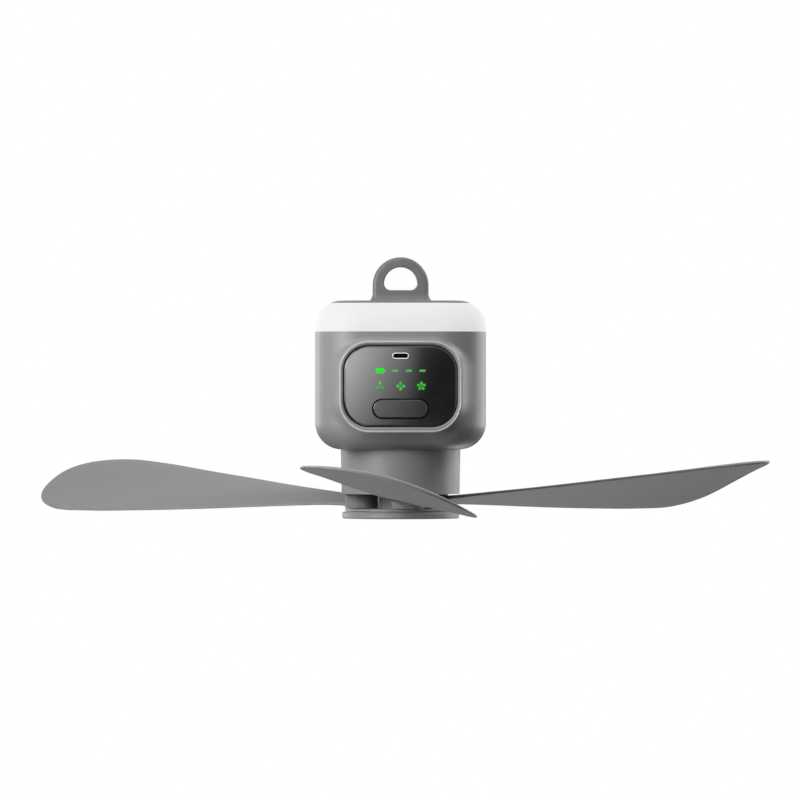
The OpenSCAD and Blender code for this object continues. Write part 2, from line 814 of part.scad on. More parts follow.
capacitor_step = 14;
capacitor_y = 6;
chip_w = 12;
module main_board() {
  color(board_green) from_eye() {
    difference() {
      translate([0, 0, board_seat_h]) linear_extrude(board_t) round_rect(holder_len, holder_d, 2);
      at_feet() translate([0, 0, board_seat_h - 1])
        cylinder(board_t + 2, pilot_r + fit_gap, pilot_r + fit_gap);
    }
    for (k = [-1, 0, 1]) translate([k * capacitor_step, capacitor_y, board_seat_h + board_t - eps])
      cylinder(5, 3, 3);
    translate([-chip_w / 2, -chip_w * 2 / 3, board_seat_h + board_t - eps]) cube([chip_w, chip_w * 2 / 3, 1.6]);
  }
}

// ---- Neck and motor ------------------------------------------------------------------

wire_hole_r = 6;
shroud_roof_t = 2.4;
motor_screw_ring = 16;
base_r = 20;
base_t = 2.4;
base_top_h = case_base_h - shroud_roof_t;
hub_plate_t = 1.9;
can_floor_h = slot_top_h + hub_plate_t;
can_floor_t = 1.8;
can_top_h = base_top_h - base_t - 0.6;
can_hole_ring = 15;
can_hole_r = 3;
tube_r = 7;
bearing_r = 5.6;
bearing_t = 4;
tube_base_h = can_floor_h + can_floor_t + 1.2;
stator_base_h = tube_base_h + 2;
tooth_w = 4.2;
coil_in_r = 11;
coil_out_r = stator_r - 3;
clip_gap = 0.15;
shaft_top_h = base_top_h + 1.6;

module at_motor_screws() {
  for (k = [0:2]) rotate(30 + 120 * k) translate([motor_screw_ring, 0, 0]) children();
}

module motor_shroud() {
  color(body_grey) from_eye() difference() {
    translate([0, 0, neck_base_h]) cylinder(neck_h, neck_end_r, neck_top_r);
    translate([0, 0, neck_base_h - 1])
      cylinder(neck_h - shroud_roof_t + 1, neck_end_r - neck_wall, neck_end_r - neck_wall);
    translate([0, 0, base_top_h - 1]) cylinder(shroud_roof_t + 2, wire_hole_r, wire_hole_r);
    at_motor_screws() translate([0, 0, base_top_h - 1])
      cylinder(shroud_roof_t + 2, screw_r + fit_gap, screw_r + fit_gap);
  }
}

module motor_screws() {
  color(bright_metal) from_eye() at_motor_screws() {
    translate([0, 0, floor_top_h]) cylinder(2, 2.6, 2.6);
    translate([0, 0, base_top_h - base_t]) cylinder(floor_top_h - base_top_h + base_t + eps, screw_r, screw_r);
  }
}

module motor_base() {
  color(bright_metal) from_eye() difference() {
    union() {
      translate([0, 0, base_top_h - base_t]) cylinder(base_t, base_r, base_r);
      translate([0, 0, tube_base_h]) cylinder(base_top_h - tube_base_h, tube_r, tube_r);
    }
    translate([0, 0, tube_base_h - 1]) cylinder(bearing_t + 1, bearing_r, bearing_r);
    translate([0, 0, tube_base_h]) cylinder(base_top_h - tube_base_h, bearing_r - 1, bearing_r - 1);
    translate([0, 0, base_top_h - bearing_t]) cylinder(bearing_t + 1, bearing_r, bearing_r);
    at_motor_screws() translate([0, 0, base_top_h - base_t - 1]) cylinder(base_t + 2, screw_r, screw_r);
  }
}

module motor_bearings() {
  color(bright_metal) from_eye() for (h = [tube_base_h, base_top_h - bearing_t])
    translate([0, 0, h]) difference() {
      cylinder(bearing_t, bearing_r, bearing_r);
      translate([0, 0, -1]) cylinder(bearing_t + 2, shaft_r + running_gap, shaft_r + running_gap);
      for (end = [-0.4, bearing_t - 0.4]) translate([0, 0, end]) difference() {
        cylinder(0.8, bearing_r - 1, bearing_r - 1);
        translate([0, 0, -1]) cylinder(3, shaft_r + 0.9, shaft_r + 0.9);
      }
    }
}

module stator_core() {
  color([0.6, 0.6, 0.62]) from_eye() translate([0, 0, stator_base_h]) linear_extrude(stator_h) difference() {
    union() {
      circle(coil_in_r);
      for (k = [0:teeth - 1]) rotate(k * 360 / teeth) translate([coil_in_r / 2, -tooth_w / 2])
        square([stator_r - 1 - coil_in_r / 2, tooth_w]);
      difference() {
        circle(stator_r);
        circle(coil_out_r + 0.4);
        for (k = [0:teeth - 1]) rotate((k + 0.5) * 360 / teeth) translate([coil_out_r, -1]) square([6, 2]);
      }
    }
    circle(tube_r);
  }
}

module stator_windings() {
  coil_over = 1.4;
  pitch_angle = 180 / teeth;
  in_w = 2 * (coil_in_r * tan(pitch_angle) - 0.3);
  out_w = 2 * (coil_out_r * tan(pitch_angle) - 0.8);
  color(copper) from_eye() for (k = [0:teeth - 1]) rotate(k * 360 / teeth) difference() {
    translate([0, 0, stator_base_h - coil_over]) linear_extrude(stator_h + 2 * coil_over) intersection() {
      polygon([[coil_in_r + 0.3, -in_w / 2], [coil_out_r, -out_w / 2], [coil_out_r, out_w / 2],
        [coil_in_r + 0.3, in_w / 2]]);
      circle(coil_out_r);
    }
    translate([coil_in_r, -tooth_w / 2, stator_base_h]) cube([stator_r, tooth_w, stator_h]);
  }
}

module motor_shaft() {
  color(bright_metal) from_eye() translate([0, 0, slot_base_h + 2])
    cylinder(shaft_top_h - slot_base_h - 2, shaft_r, shaft_r);
}

module shaft_clip() {
  color(bright_metal) from_eye() translate([0, 0, base_top_h + clip_gap]) difference() {
    cylinder(0.8, shaft_r + 1.8, shaft_r + 1.8);
    translate([0, 0, -1]) cylinder(3, shaft_r, shaft_r);
  }
}

module motor_can() {
  color([0.5, 0.5, 0.52]) from_eye() difference() {
    translate([0, 0, can_floor_h]) cylinder(can_top_h - can_floor_h, can_r, can_r);
    translate([0, 0, can_floor_h + can_floor_t]) cylinder(can_top_h, can_r - can_wall, can_r - can_wall);
    translate([0, 0, can_floor_h - 1]) cylinder(can_floor_t + 2, shaft_r, shaft_r);
    for (k = [0:5]) rotate(60 * k) translate([can_hole_ring, 0, can_floor_h - 1])
      cylinder(can_floor_t + 2, can_hole_r, can_hole_r);
  }
}

module rotor_magnets() {
  magnet_r = can_r - can_wall;
  color([0.3, 0.3, 0.33]) from_eye() translate([0, 0, stator_base_h - 0.5]) linear_extrude(stator_h + 1)
    difference() {
      circle(magnet_r);
      circle(magnet_r - magnet_t);
      for (k = [0:magnets - 1]) rotate(k * 360 / magnets) translate([magnet_r - 2 * magnet_t, -0.5])
        square([3 * magnet_t, 1]);
    }
}

// ---- Rotor -------------------------------------------------------------------------------

rotor_screw_ring = 8;
rotor_screw_r = 1.2;
rotor_screw_bite = 5;
screw_well = 5;
well_wall = 2;
hub_r = neck_end_r - neck_wall - 1.6;

module at_rotor_screws() {
  for (k = [0:2]) rotate(blade_az + 60 + 120 * k) translate([rotor_screw_ring, 0, 0]) children();
}

// Repeats its children at the three blade pivots
module at_pivots() {
  for (k = [0:2]) rotate(blade_az + pivot_lead + 120 * k) translate([pivot_ring_r, 0, 0]) children();
}

module rotor_hub() {
  color(body_grey) from_eye() difference() {
    union() {
      translate([0, 0, slot_top_h]) cylinder(hub_plate_t, hub_r, hub_r);
      translate([0, 0, slot_base_h]) cylinder(slot_h + 1, core_r, core_r);
    }
    translate([0, 0, slot_base_h + 2]) cylinder(slot_h + hub_plate_t, shaft_r, shaft_r);
    at_pivots() translate([0, 0, slot_top_h - 1]) cylinder(hub_plate_t + 2, pin_r, pin_r);
    at_rotor_screws() translate([0, 0, slot_base_h - 1])
      cylinder(rotor_screw_bite + 1.5, rotor_screw_r, rotor_screw_r);
  }
}

module pivot_pins() {
  color(bright_metal) from_eye() at_pivots() translate([0, 0, plate_base_h])
    cylinder(plate_t + slot_h + hub_plate_t, pin_r, pin_r);
}

module lower_plate() {
  color(body_grey) from_eye() difference() {
    translate([0, 0, plate_base_h]) rotate_extrude() polygon([[0, 0], [plate_r - 0.8, 0],
      [plate_r - 0.8, 0.6], [plate_r, 0.6], [plate_r, plate_t - 0.3], [plate_r - 0.3, plate_t], [0, plate_t]]);
    at_pivots() translate([0, 0, plate_base_h - 1]) cylinder(plate_t + 2, pin_r, pin_r);
    at_rotor_screws() translate([0, 0, plate_base_h - 1]) cylinder(plate_t + 2, rotor_screw_r + fit_gap, rotor_screw_r + fit_gap);
  }
}

module rotor_screws() {
  color(bright_metal) from_eye() at_rotor_screws() {
    translate([0, 0, plate_base_h - 1.4]) cylinder(1.4, 2.3, 2.3);
    translate([0, 0, plate_base_h - eps]) cylinder(plate_t + rotor_screw_bite, rotor_screw_r, rotor_screw_r);
  }
}

module bottom_cover() {
  chamfer = 0.6;
  floor_t = 1.4;
  rib_t = 1.2;
  well_r = rotor_screw_ring + screw_well;
  color(body_grey) from_eye() difference() {
    rotate_extrude() polygon([[0, 0], [cover_r - chamfer, 0], [cover_r, chamfer],
      [cover_r, cover_h - chamfer], [cover_r - chamfer, cover_h], [0, cover_h]]);
    translate([0, 0, floor_t]) cylinder(cover_h, well_r, well_r);
    translate([0, 0, floor_t]) difference() {
      cylinder(cover_h, cover_r - 3, cover_r - 3);
      translate([0, 0, -1]) cylinder(cover_h + 2, well_r + well_wall, well_r + well_wall);
      for (k = [0:5]) rotate(60 * k) translate([0, -rib_t / 2, -1]) cube([cover_r, rib_t, cover_h + 2]);
    }
  }
}

// ---- Blades ----------------------------------------------------------------------------------

// A blade's outline, as shares of its reach and of its width on each side of the middle
// line: the leading edge out to the tip, then the trailing edge back to the root
lead_shape = [[0.094, 0.29], [0.174, 0.29], [0.247, 0.38], [0.37, 0.56], [0.518, 0.755],
  [0.667, 0.905], [0.795, 1], [0.902, 1], [0.976, 0.69]];
trail_shape = [[0.986, 0.58], [0.922, 0.995], [0.814, 0.975], [0.667, 0.785], [0.518, 0.61],
  [0.37, 0.425], [0.247, 0.285], [0.174, 0.19], [0.094, 0.09]];
outline = concat([for (p = lead_shape) [p[0] * reach, p[1] * lead_w]], [[reach, 0]],
  [for (p = trail_shape) [p[0] * reach, -p[1] * trail_w]]);
tip_index = len(lead_shape);
blade_ribs = 40;
rib_steps = 6;
edge_round = 0.6;
barrel_h = slot_h - 2 * barrel_gap;
blade_mid = 4.5;
root_bow = 1.25;
tip_bow = 4.5;

// A smooth curve through the outline's points, by position along the list
function curve_at(p, s) = let (n = len(p) - 1, i = min(floor(s), n - 1), f = s - i,
  a = p[max(i - 1, 0)], b = p[i], c = p[i + 1], d = p[min(i + 2, n)])
  0.5 * (2 * b + (c - a) * f + (2 * a - 5 * b + 4 * c - d) * f * f + (3 * b - a - 3 * c + d) * f * f * f);

// Height of the blade's middle surface at distance u along and v across the blade
function span(u) = (u - pivot_ring_r) / (reach - pivot_ring_r);
function blade_z(u, v) = let (s = span(u)) blade_mid + rise * (u - pivot_ring_r) + curl_h * s * s
  - (pitch + twist * s) * v - (root_bow + tip_bow * s) * v * v / (trail_w * trail_w);
function half_t(u, share) = share * (blade_t / 2 + root_t / 2 * pow(max(0, 1 - 4 * span(u)), 2));

// One rib of the blade: a closed ring of points, over the top and back underneath
function rib_ends(i) = let (s = tip_index * min(i / blade_ribs, 0.988))
  [curve_at(outline, s), curve_at(outline, 2 * tip_index - s)];
function rib_shares(len) = let (e = min(edge_round / len, 0.1))
  concat([[0, 0.35], [e, 1]], [for (k = [1:rib_steps - 1]) [k / rib_steps, 1]], [[1 - e, 1], [1, 0.35]]);
function rib_point(ends, share, side) = let (p = ends[0] + share[0] * (ends[1] - ends[0]))
  [p[0], p[1], blade_z(p[0], p[1]) + side * half_t(p[0], share[1])];
function rib(i) = let (ends = rib_ends(i), shares = rib_shares(norm(ends[1] - ends[0])), n = len(shares) - 1)
  concat([for (k = [0:n]) rib_point(ends, shares[k], 1)], [for (k = [n:-1:0]) rib_point(ends, shares[k], -1)]);

module blade_skin() {
  ring = 2 * (rib_steps + 3);
  points = [for (i = [0:blade_ribs], p = rib(i)) p];
  walls = [for (i = [0:blade_ribs - 1], k = [0:ring - 1]) let (a = i * ring + k, b = i * ring + (k + 1) % ring)
    each [[a, a + ring, b], [b, a + ring, b + ring]]];
  half = ring / 2;
  caps = [for (end = [0, blade_ribs], k = [0:half - 2])
    let (o = end * ring, q = [o + k, o + ring - 1 - k, o + ring - 2 - k, o + k + 1])
    end == 0 ? [q[3], q[2], q[1], q[0]] : q];
  cap_triangles = [for (q = caps) each [[q[0], q[1], q[2]], [q[0], q[2], q[3]]]];
  polyhedron(points, concat(walls, cap_triangles));
}

// One blade, with its barrel and bore, turned to its direction
module blade(k) {
  pivot_x = pivot_ring_r * cos(pivot_lead);
  pivot_y = pivot_ring_r * sin(pivot_lead);
  color(body_grey) from_eye() rotate(blade_az + 120 * k) translate([0, 0, slot_base_h + barrel_gap]) difference() {
    union() {
      blade_skin();
      translate([pivot_x, pivot_y, 0]) cylinder(barrel_h, barrel_r, barrel_r);
    }
    translate([pivot_x, pivot_y, -1]) cylinder(barrel_h + 2, pin_r + running_gap, pin_r + running_gap);
  }
}

module blade_1() { blade(0); }
module blade_2() { blade(1); }
module blade_3() { blade(2); }

top_cap();
lamp_diffuser();
lamp_leds();
lamp_board();
lamp_reflector();
main_housing();
case_screws();
control_panel();
battery_icons();
speed_icons();
port_shell();
port_tongue();
button_cap();
tact_switch();
indicator_leds();
control_board();
board_screws();
battery_cells();
battery_holder();
battery_tabs();
main_board();
motor_shroud();
motor_screws();
motor_base();
motor_bearings();
stator_core();
stator_windings();
motor_shaft();
shaft_clip();
motor_can();
rotor_magnets();
rotor_hub();
pivot_pins();
lower_plate();
rotor_screws();
bottom_cover();
blade_1();
blade_2();
blade_3();
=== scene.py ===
"""The looks of a hanging camping fan with a lamp ring and three swing-out blades.

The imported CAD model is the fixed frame. This script gives its nodes their moulded, metal
and lit finishes, models the free-form pieces that solids only approximate, and sets up
the studio. Everything is in metres in the model's own frame: the origin is the top of the
eye of the hanging loop, +Z is up, and the control panel faces -Y.
"""

import logging
from collections.abc import Callable, Sequence
from dataclasses import dataclass, field
from enum import Enum
from math import cos, dist, exp, radians, sin, sqrt, tan

import bpy  # noqa: E402
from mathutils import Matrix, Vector  # noqa: E402

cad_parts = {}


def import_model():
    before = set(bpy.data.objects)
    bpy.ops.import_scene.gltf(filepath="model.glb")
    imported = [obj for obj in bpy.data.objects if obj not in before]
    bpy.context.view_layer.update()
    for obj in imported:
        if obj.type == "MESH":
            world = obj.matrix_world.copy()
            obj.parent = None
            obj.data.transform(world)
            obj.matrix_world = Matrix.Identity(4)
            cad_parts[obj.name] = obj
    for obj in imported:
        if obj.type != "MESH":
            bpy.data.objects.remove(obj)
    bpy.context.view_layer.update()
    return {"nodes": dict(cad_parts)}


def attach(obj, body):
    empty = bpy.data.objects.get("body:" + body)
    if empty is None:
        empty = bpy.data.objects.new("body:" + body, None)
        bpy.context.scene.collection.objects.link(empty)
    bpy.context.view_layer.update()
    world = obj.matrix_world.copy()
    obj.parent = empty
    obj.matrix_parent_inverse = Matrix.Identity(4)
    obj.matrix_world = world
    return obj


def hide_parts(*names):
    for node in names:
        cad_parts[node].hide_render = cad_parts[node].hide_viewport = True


log = logging.getLogger("camping_fan")

MM = 0.001
Piece = bpy.types.Object
Pair = tuple[float, float]
Colour = tuple[float, float, float]
Shade = tuple[float, float, float, float]
Ring = list[Vector]
Placing = Callable[[Vector, Vector, float, float], Pair]

# Heights in millimetres above the underside of the rotor's cover
EYE_TOP = 138.8
PANEL_MIDDLE = 73.1
BUTTON_MIDDLE = 66.0

# The crest of the panel's rim, in millimetres: the half width, half height and corner of
# the line that it follows, and how far outside it the top is, at most sides and below
CREST_HALF = (32.35, 23.5)
CREST_CORNER = 15.4
CREST_OUT = (0.75, 1.4)

# The way that each blade points, in degrees from +X towards +Y
BLADE_AZIMUTHS = (269.5, 29.5, 149.5)

# The width over which a finish changes at a sharp line, and the corners of a round outline
EDGE = 0.1 * MM
ROUND_STEPS = 96


def from_cover(height: float) -> float:
    """Returns the Z in metres of a height in millimetres above the rotor cover's underside."""
    return (height - EYE_TOP) * MM


def grey(level: float) -> Shade:
    """Returns the grey of a level in linear light."""
    return (level, level, level, 1.0)


BLACK, WHITE = grey(0.0), grey(1.0)


def linear(colour: Colour) -> Shade:
    """Turns display values into the linear values that a shader socket takes.

    Args:
        colour: Red, green and blue from 0 to 1, as a screen shows them.

    Returns:
        The same colour in linear light, with full alpha.
    """
    channels = [c / 12.92 if c <= 0.04045 else ((c + 0.055) / 1.055) ** 2.4 for c in colour]
    return (channels[0], channels[1], channels[2], 1.0)


# ---- Shader graphs ----


class Signal:
    """A shader socket that takes part in Python arithmetic by adding Math nodes."""

    def __init__(self, graph: "Graph", socket: bpy.types.NodeSocket | None) -> None:
        """Wraps one output socket of a graph, or none for a node that ends it."""
        self.graph = graph
        self.socket = socket

    def _math(self, operation: str, first: "Signal | float", second: "Signal | float") -> "Signal":
        """Adds one Math node and returns its result."""
        return self.graph.node("ShaderNodeMath", {"operation": operation}, {0: first, 1: second})

    def __add__(self, other: "Signal | float") -> "Signal":
        """Adds."""
        return self._math("ADD", self, other)

    __radd__ = __add__

    def __mul__(self, other: "Signal | float") -> "Signal":
        """Multiplies."""
        return self._math("MULTIPLY", self, other)

    __rmul__ = __mul__

    def __sub__(self, other: "Signal | float") -> "Signal":
        """Subtracts a value from this one."""
        return self._math("SUBTRACT", self, other)

    def __rsub__(self, other: "Signal | float") -> "Signal":
        """Subtracts this value from another."""
        return self._math("SUBTRACT", other, self)

    def __truediv__(self, other: "Signal | float") -> "Signal":
        """Divides by a value."""
        return self._math("DIVIDE", self, other)

    def __pow__(self, other: "Signal | float") -> "Signal":
        """Raises to a power."""
        return self._math("POWER", self, other)

    def __abs__(self) -> "Signal":
        """Drops the sign."""
        return self._math("ABSOLUTE", self, 0.0)

    def floor(self, low: float) -> "Signal":
        """Keeps the value from falling under a limit."""
        return self._math("MAXIMUM", self, low)

    def above(self, low: float, high: float) -> "Signal":
        """Returns 0 below low and 1 above high, with a smooth step between them.

        Args:
            low: Where the step starts.
            high: Where the step ends.

        Returns:
            The share, from 0 to 1.
        """
        return self.graph.node(
            "ShaderNodeMapRange",
            {"interpolation_type": "SMOOTHSTEP"},
            {"Value": self, "From Min": low, "From Max": high},
        )


class Graph:
    """The node tree of one material or world."""

    def __init__(self, tree: bpy.types.NodeTree) -> None:
        """Takes over an empty tree."""
        self.tree = tree
        tree.nodes.clear()

    def node(
        self,
        kind: str,
        settings: dict[str, object] | None = None,
        inputs: dict[str | int, object] | None = None,
        out: str | int = 0,
    ) -> Signal:
        """Adds a node of any type.

        Args:
            kind: The node's type, such as ShaderNodeTexNoise.
            settings: The node's own settings, set first.
            inputs: Values or links of its sockets, by name or number.
            out: The output socket to return.

        Returns:
            The chosen output.
        """
        made = self.tree.nodes.new(kind)
        for key, value in (settings or {}).items():
            setattr(made, key, value)
        for key, value in (inputs or {}).items():
            if isinstance(value, Signal):
                self.tree.links.new(value.socket, made.inputs[key])
            else:
                made.inputs[key].default_value = value
        return Signal(self, made.outputs[out] if made.outputs else None)

    def place(self) -> Signal:
        """Returns the object coordinates, which are the model's own frame."""
        return self.node("ShaderNodeTexCoord", out="Object")

    def axes(self) -> tuple[Signal, Signal, Signal]:
        """Returns the X, Y and Z of the object coordinates."""
        split = self.node("ShaderNodeSeparateXYZ", inputs={0: self.place()}).socket.node
        return tuple(Signal(self, split.outputs[i]) for i in range(3))

    def noise(self, size: float, detail: float = 2.0, stretch: Vector | None = None) -> Signal:
        """Returns a soft noise from 0 to 1.

        Args:
            size: The size of its features in metres.
            detail: Octaves of finer noise on top.
            stretch: How much longer the features are along each axis.

        Returns:
            The noise value.
        """
        place = self.place()
        if stretch is not None:
            scale = tuple(1.0 / s for s in stretch)
            place = self.node("ShaderNodeMapping", {}, {"Vector": place, "Scale": scale})
        return self.node(
            "ShaderNodeTexNoise", {}, {"Vector": place, "Scale": 1.0 / size, "Detail": detail}
        )

    def blend(self, share: Signal | float, first: object, second: object) -> Signal:
        """Mixes two colours.

        Args:
            share: How much of the second there is, from 0 to 1.
            first: The colour at 0.
            second: The colour at 1.

        Returns:
            The mixed colour.
        """
        return self.node(
            "ShaderNodeMix",
            {"data_type": "RGBA"},
            {0: share, 6: first, 7: second},
            out=2,
        )

    def bump(self, height: Signal, depth: float, strength: float = 1.0) -> Signal:
        """Returns a normal that follows a height.

        Args:
            height: The height, in units of the depth.
            depth: The depth in metres.
            strength: How much of it shows.

        Returns:
            The bumped normal.
        """
        return self.node(
            "ShaderNodeBump", {}, {"Height": height, "Distance": depth, "Strength": strength}
        )

    def principled(self, inputs: dict[str | int, object]) -> Signal:
        """Returns a principled shader with these values and links on its sockets."""
        return self.node("ShaderNodeBsdfPrincipled", {}, inputs)

    def surface(self, shader: Signal) -> None:
        """Connects a shader to the material's output."""
        self.node("ShaderNodeOutputMaterial", {}, {"Surface": shader})


def new_material(name: str) -> tuple[bpy.types.Material, Graph]:
    """Makes a material with an empty graph.

    Args:
        name: The material's name.

    Returns:
        The material, and the graph for its nodes.
    """
    made = bpy.data.materials.new(name)
    made.use_nodes = True
    return made, Graph(made.node_tree)


# ---- Finishes ----


@dataclass(frozen=True)
class Finish:
    """What every finish shares: a name, a colour as a screen shows it, and a roughness."""

    name: str
    colour: Colour
    roughness: float

    def material(self) -> bpy.types.Material:
        """Makes the finish's material once, and shares it after that.

        Returns:
            The material.
        """
        label = f"{self.name}_finish"
        made = bpy.data.materials.get(label)
        if made is None:
            made, graph = new_material(label)
            graph.surface(self.shader(graph))
        return made

    def shader(self, graph: Graph) -> Signal:
        """Builds the finish in a graph and returns its shader."""
        raise NotImplementedError

    def tone(self, graph: Graph, share: Signal, spread: float) -> Signal:
        """Returns the colour, made lighter and darker by a share.

        Args:
            graph: The material's graph.
            share: From 0, darkest, to 1, lightest.
            spread: How far the tone goes to each side.

        Returns:
            The varied colour.
        """
        dark = tuple(c * (1 - spread) for c in self.colour)
        light = tuple(min(1.0, c * (1 + spread)) for c in self.colour)
        return graph.blend(share, linear(dark), linear(light))


@dataclass(frozen=True)
class MouldedPlastic(Finish):
    """Matt moulded plastic with the fine even grain of a spark-eroded mould."""

    grain: float = 0.28 * MM
    grain_depth: float = 0.012 * MM
    flow: float = 22 * MM
    specular: float = 0.35

    def gloss(self, graph: Graph) -> Signal | float:
        """Returns how far the roughness is rubbed down."""
        return 0.0

    def shader(self, graph: Graph) -> Signal:
        """Builds tone, roughness and grain.

        Args:
            graph: The material's graph.

        Returns:
            The plastic's shader.
        """
        cloud = graph.noise(self.flow, 3.0)
        speck = graph.noise(self.grain * 2.2, 1.0)
        grain = graph.noise(self.grain, 1.5)
        return graph.principled({
            "Base Color": self.tone(graph, cloud * 0.6 + speck * 0.4, 0.035),
            "Roughness": self.roughness - 0.04 + cloud * 0.05 + speck * 0.04 - self.gloss(graph),
            "Normal": graph.bump(grain, self.grain_depth, 0.55),
            "Specular IOR Level": self.specular,
            "IOR": 1.5,
        })


@dataclass(frozen=True)
class CrestedPlastic(MouldedPlastic):
    """The case's plastic on its rim, where handling has rubbed the crest smooth, with a paler
    painted highlight along it.
    """

    half: Pair = (CREST_HALF[0] * MM, CREST_HALF[1] * MM)
    corner: float = CREST_CORNER * MM
    middle: float = from_cover(PANEL_MIDDLE)
    crest: Pair = (CREST_OUT[0] * MM, CREST_OUT[1] * MM)
    fade: Pair = (0.2 * MM, 0.75 * MM)
    polish: float = 0.16
    # The paler tone of the painted highlight along the crest
    painted_highlight: Colour = (0.7, 0.7, 0.705)

    def crest_polish_and_highlight(self, graph: Graph) -> Signal:
        """Finds how far the roughness is rubbed down and the painted highlight shows, which is most
        along the crest.

        Args:
            graph: The material's graph.

        Returns:
            The share, from 0 to 1.
        """
        across, _, up = graph.axes()
        past_x = (abs(across) - (self.half[0] - self.corner)).floor(0.0)
        past_z = (abs(up - self.middle) - (self.half[1] - self.corner)).floor(0.0)
        length = (past_x * past_x + past_z * past_z) ** 0.5
        low = past_z * past_z / (length * length).floor(1e-9) * (self.middle - up).above(0, MM)
        crest = self.crest[0] + low * (self.crest[1] - self.crest[0])
        return 1 - abs(length - self.corner - crest).above(*self.fade)

    def tone(self, graph: Graph, share: Signal, spread: float) -> Signal:
        """Returns the plastic's tone, with a paler painted highlight along the crest."""
        plain = super().tone(graph, share, spread)
        # The paler tone along the crest is a painted highlight, not wear
        return graph.blend(self.crest_polish_and_highlight(graph) * 0.9, plain, linear(self.painted_highlight))

    def gloss(self, graph: Graph) -> Signal:
        """Returns how far the roughness is rubbed down along the crest."""
        return self.crest_polish_and_highlight(graph) * self.polish


@dataclass(frozen=True)
class GlossPlastic(Finish):
    """Dark plastic whose face is polished and crowned like a watch glass.

    The mould's sides, behind the face, are left matt.
    """

    middle: float = from_cover(PANEL_MIDDLE)
    crown_r: float = 600 * MM
    face: float = 47.5 * MM
    specular: float = 0.75

    def crown(self, graph: Graph) -> Signal:
        """Tilts the face as a crown about its middle would.

        Args:
            graph: The material's graph.

        Returns:
            The normal.
        """
        across, _, up = graph.axes()
        lift = up - self.middle
        fall = (across * across + lift * lift) / (2 * self.crown_r)
        return graph.bump(-1 * fall, 1.0)

    def shader(self, graph: Graph) -> Signal:
        """Builds the dark body and its polished skin.

        Args:
            graph: The material's graph.

        Returns:
            The plastic's shader.
        """
        haze = graph.noise(9 * MM, 4.0)
        rub = graph.noise(0.5 * MM, 2.0, Vector((14, 1, 1)))
        side = graph.axes()[1].above(-self.face - EDGE, -self.face)
        return graph.principled({
            "Base Color": graph.blend(side, self.tone(graph, haze, 0.08), BLACK),
            "Roughness": self.roughness + haze * 0.05 + rub * 0.03 + side * 0.8,
            "Normal": self.crown(graph),
            "IOR": 1.5,
            "Specular IOR Level": self.specular,
        })


@dataclass(frozen=True)
class OpalPlastic(Finish):
    """Milky plastic that scatters light inside its wall, and glows a little when it is lit."""

    glow: float = 0.0
    specular: float = 0.3
    scatter: float = 3.0 * MM

    def shader(self, graph: Graph) -> Signal:
        """Builds the milky body with a satin skin.

        Args:
            graph: The material's graph.

        Returns:
            The plastic's shader.
        """
        cloud = graph.noise(14 * MM, 2.0)
        grain = graph.noise(0.3 * MM, 1.0)
        return graph.principled({
            "Base Color": self.tone(graph, cloud, 0.01),
            "Roughness": self.roughness + cloud * 0.06,
            "Normal": graph.bump(grain, 0.006 * MM, 0.4),
            "Subsurface Weight": 0.35,
            "Subsurface Radius": (1.0, 0.95, 0.9),
            "Subsurface Scale": self.scatter,
            "Emission Color": WHITE,
            "Emission Strength": self.glow,
            "Specular IOR Level": self.specular,
            "IOR": 1.49,
        })


@dataclass(frozen=True)
class LitMark(Finish):
    """A translucent symbol lit from behind by its indicator."""

    core: Colour = (0.3, 0.95, 0.3)
    glow: float = 0.9

    def light(self, graph: Graph) -> Signal:
        """Returns the colour of the glow, paler in patches."""
        patch = graph.noise(1.1 * MM, 1.0).above(0.42, 0.72)
        return graph.blend(patch * 0.6, linear(self.colour), linear(self.core))

    def shader(self, graph: Graph) -> Signal:
        """Builds the dark lens and its glow.

        Args:
            graph: The material's graph.

        Returns:
            The symbol's shader.
        """
        patch = graph.noise(0.8 * MM, 1.0)
        return graph.principled({
            "Base Color": graph.blend(patch, (0.0, 0.01, 0.0, 1.0), (0.0, 0.02, 0.0, 1.0)),
            "Roughness": self.roughness + patch * 0.1,
            "Emission Color": self.light(graph),
            "Emission Strength": self.glow,
            "Specular IOR Level": 0.2,
        })


@dataclass(frozen=True)
class ChargeRow(LitMark):
    """The charge row: a bright battery symbol, then dimmer bars lit at one end."""

    bars_from: float = -6.5 * MM
    bar: Colour = (0.33, 0.72, 0.32)

    def light(self, graph: Graph) -> Signal:
        """Returns the battery's bright glow, and the bars' dimmer one past it."""
        bars = graph.axes()[0].above(self.bars_from - EDGE, self.bars_from)
        return graph.blend(bars, super().light(graph), linear(self.bar))


@dataclass(frozen=True)
class BareMetal(Finish):
    """Bare or plated metal with fine tool marks."""

    marks: Vector = field(default_factory=lambda: Vector((1, 1, 12)))

    def shader(self, graph: Graph) -> Signal:
        """Builds the metal with streaked roughness.

        Args:
            graph: The material's graph.

        Returns:
            The metal's shader.
        """
        streak = graph.noise(0.25 * MM, 2.0, self.marks)
        cloud = graph.noise(5 * MM, 2.0)
        return graph.principled({
            "Base Color": self.tone(graph, cloud, 0.05),
            "Roughness": self.roughness + streak * 0.12,
            "Normal": graph.bump(streak, 0.004 * MM, 0.4),
            "Metallic": 1.0,
        })


@dataclass(frozen=True)
class MouthMetal(BareMetal):
    """Plated metal of a socket, bright at its mouth, with painted shade inside."""

    mouth: float = 47.7 * MM
    fade: float = 0.3 * MM
    # The colour of the painted shade inside the socket
    dark: Colour = (0.02, 0.02, 0.02)

    def tone(self, graph: Graph, share: Signal, spread: float) -> Signal:
        """Returns the bright tone, with painted shade behind the mouth."""
        inside = graph.axes()[1].above(-self.mouth, self.fade - self.mouth)
        # The dark colour behind the mouth is painted shade inside the socket
        return graph.blend(inside, super().tone(graph, share, spread), linear(self.dark))


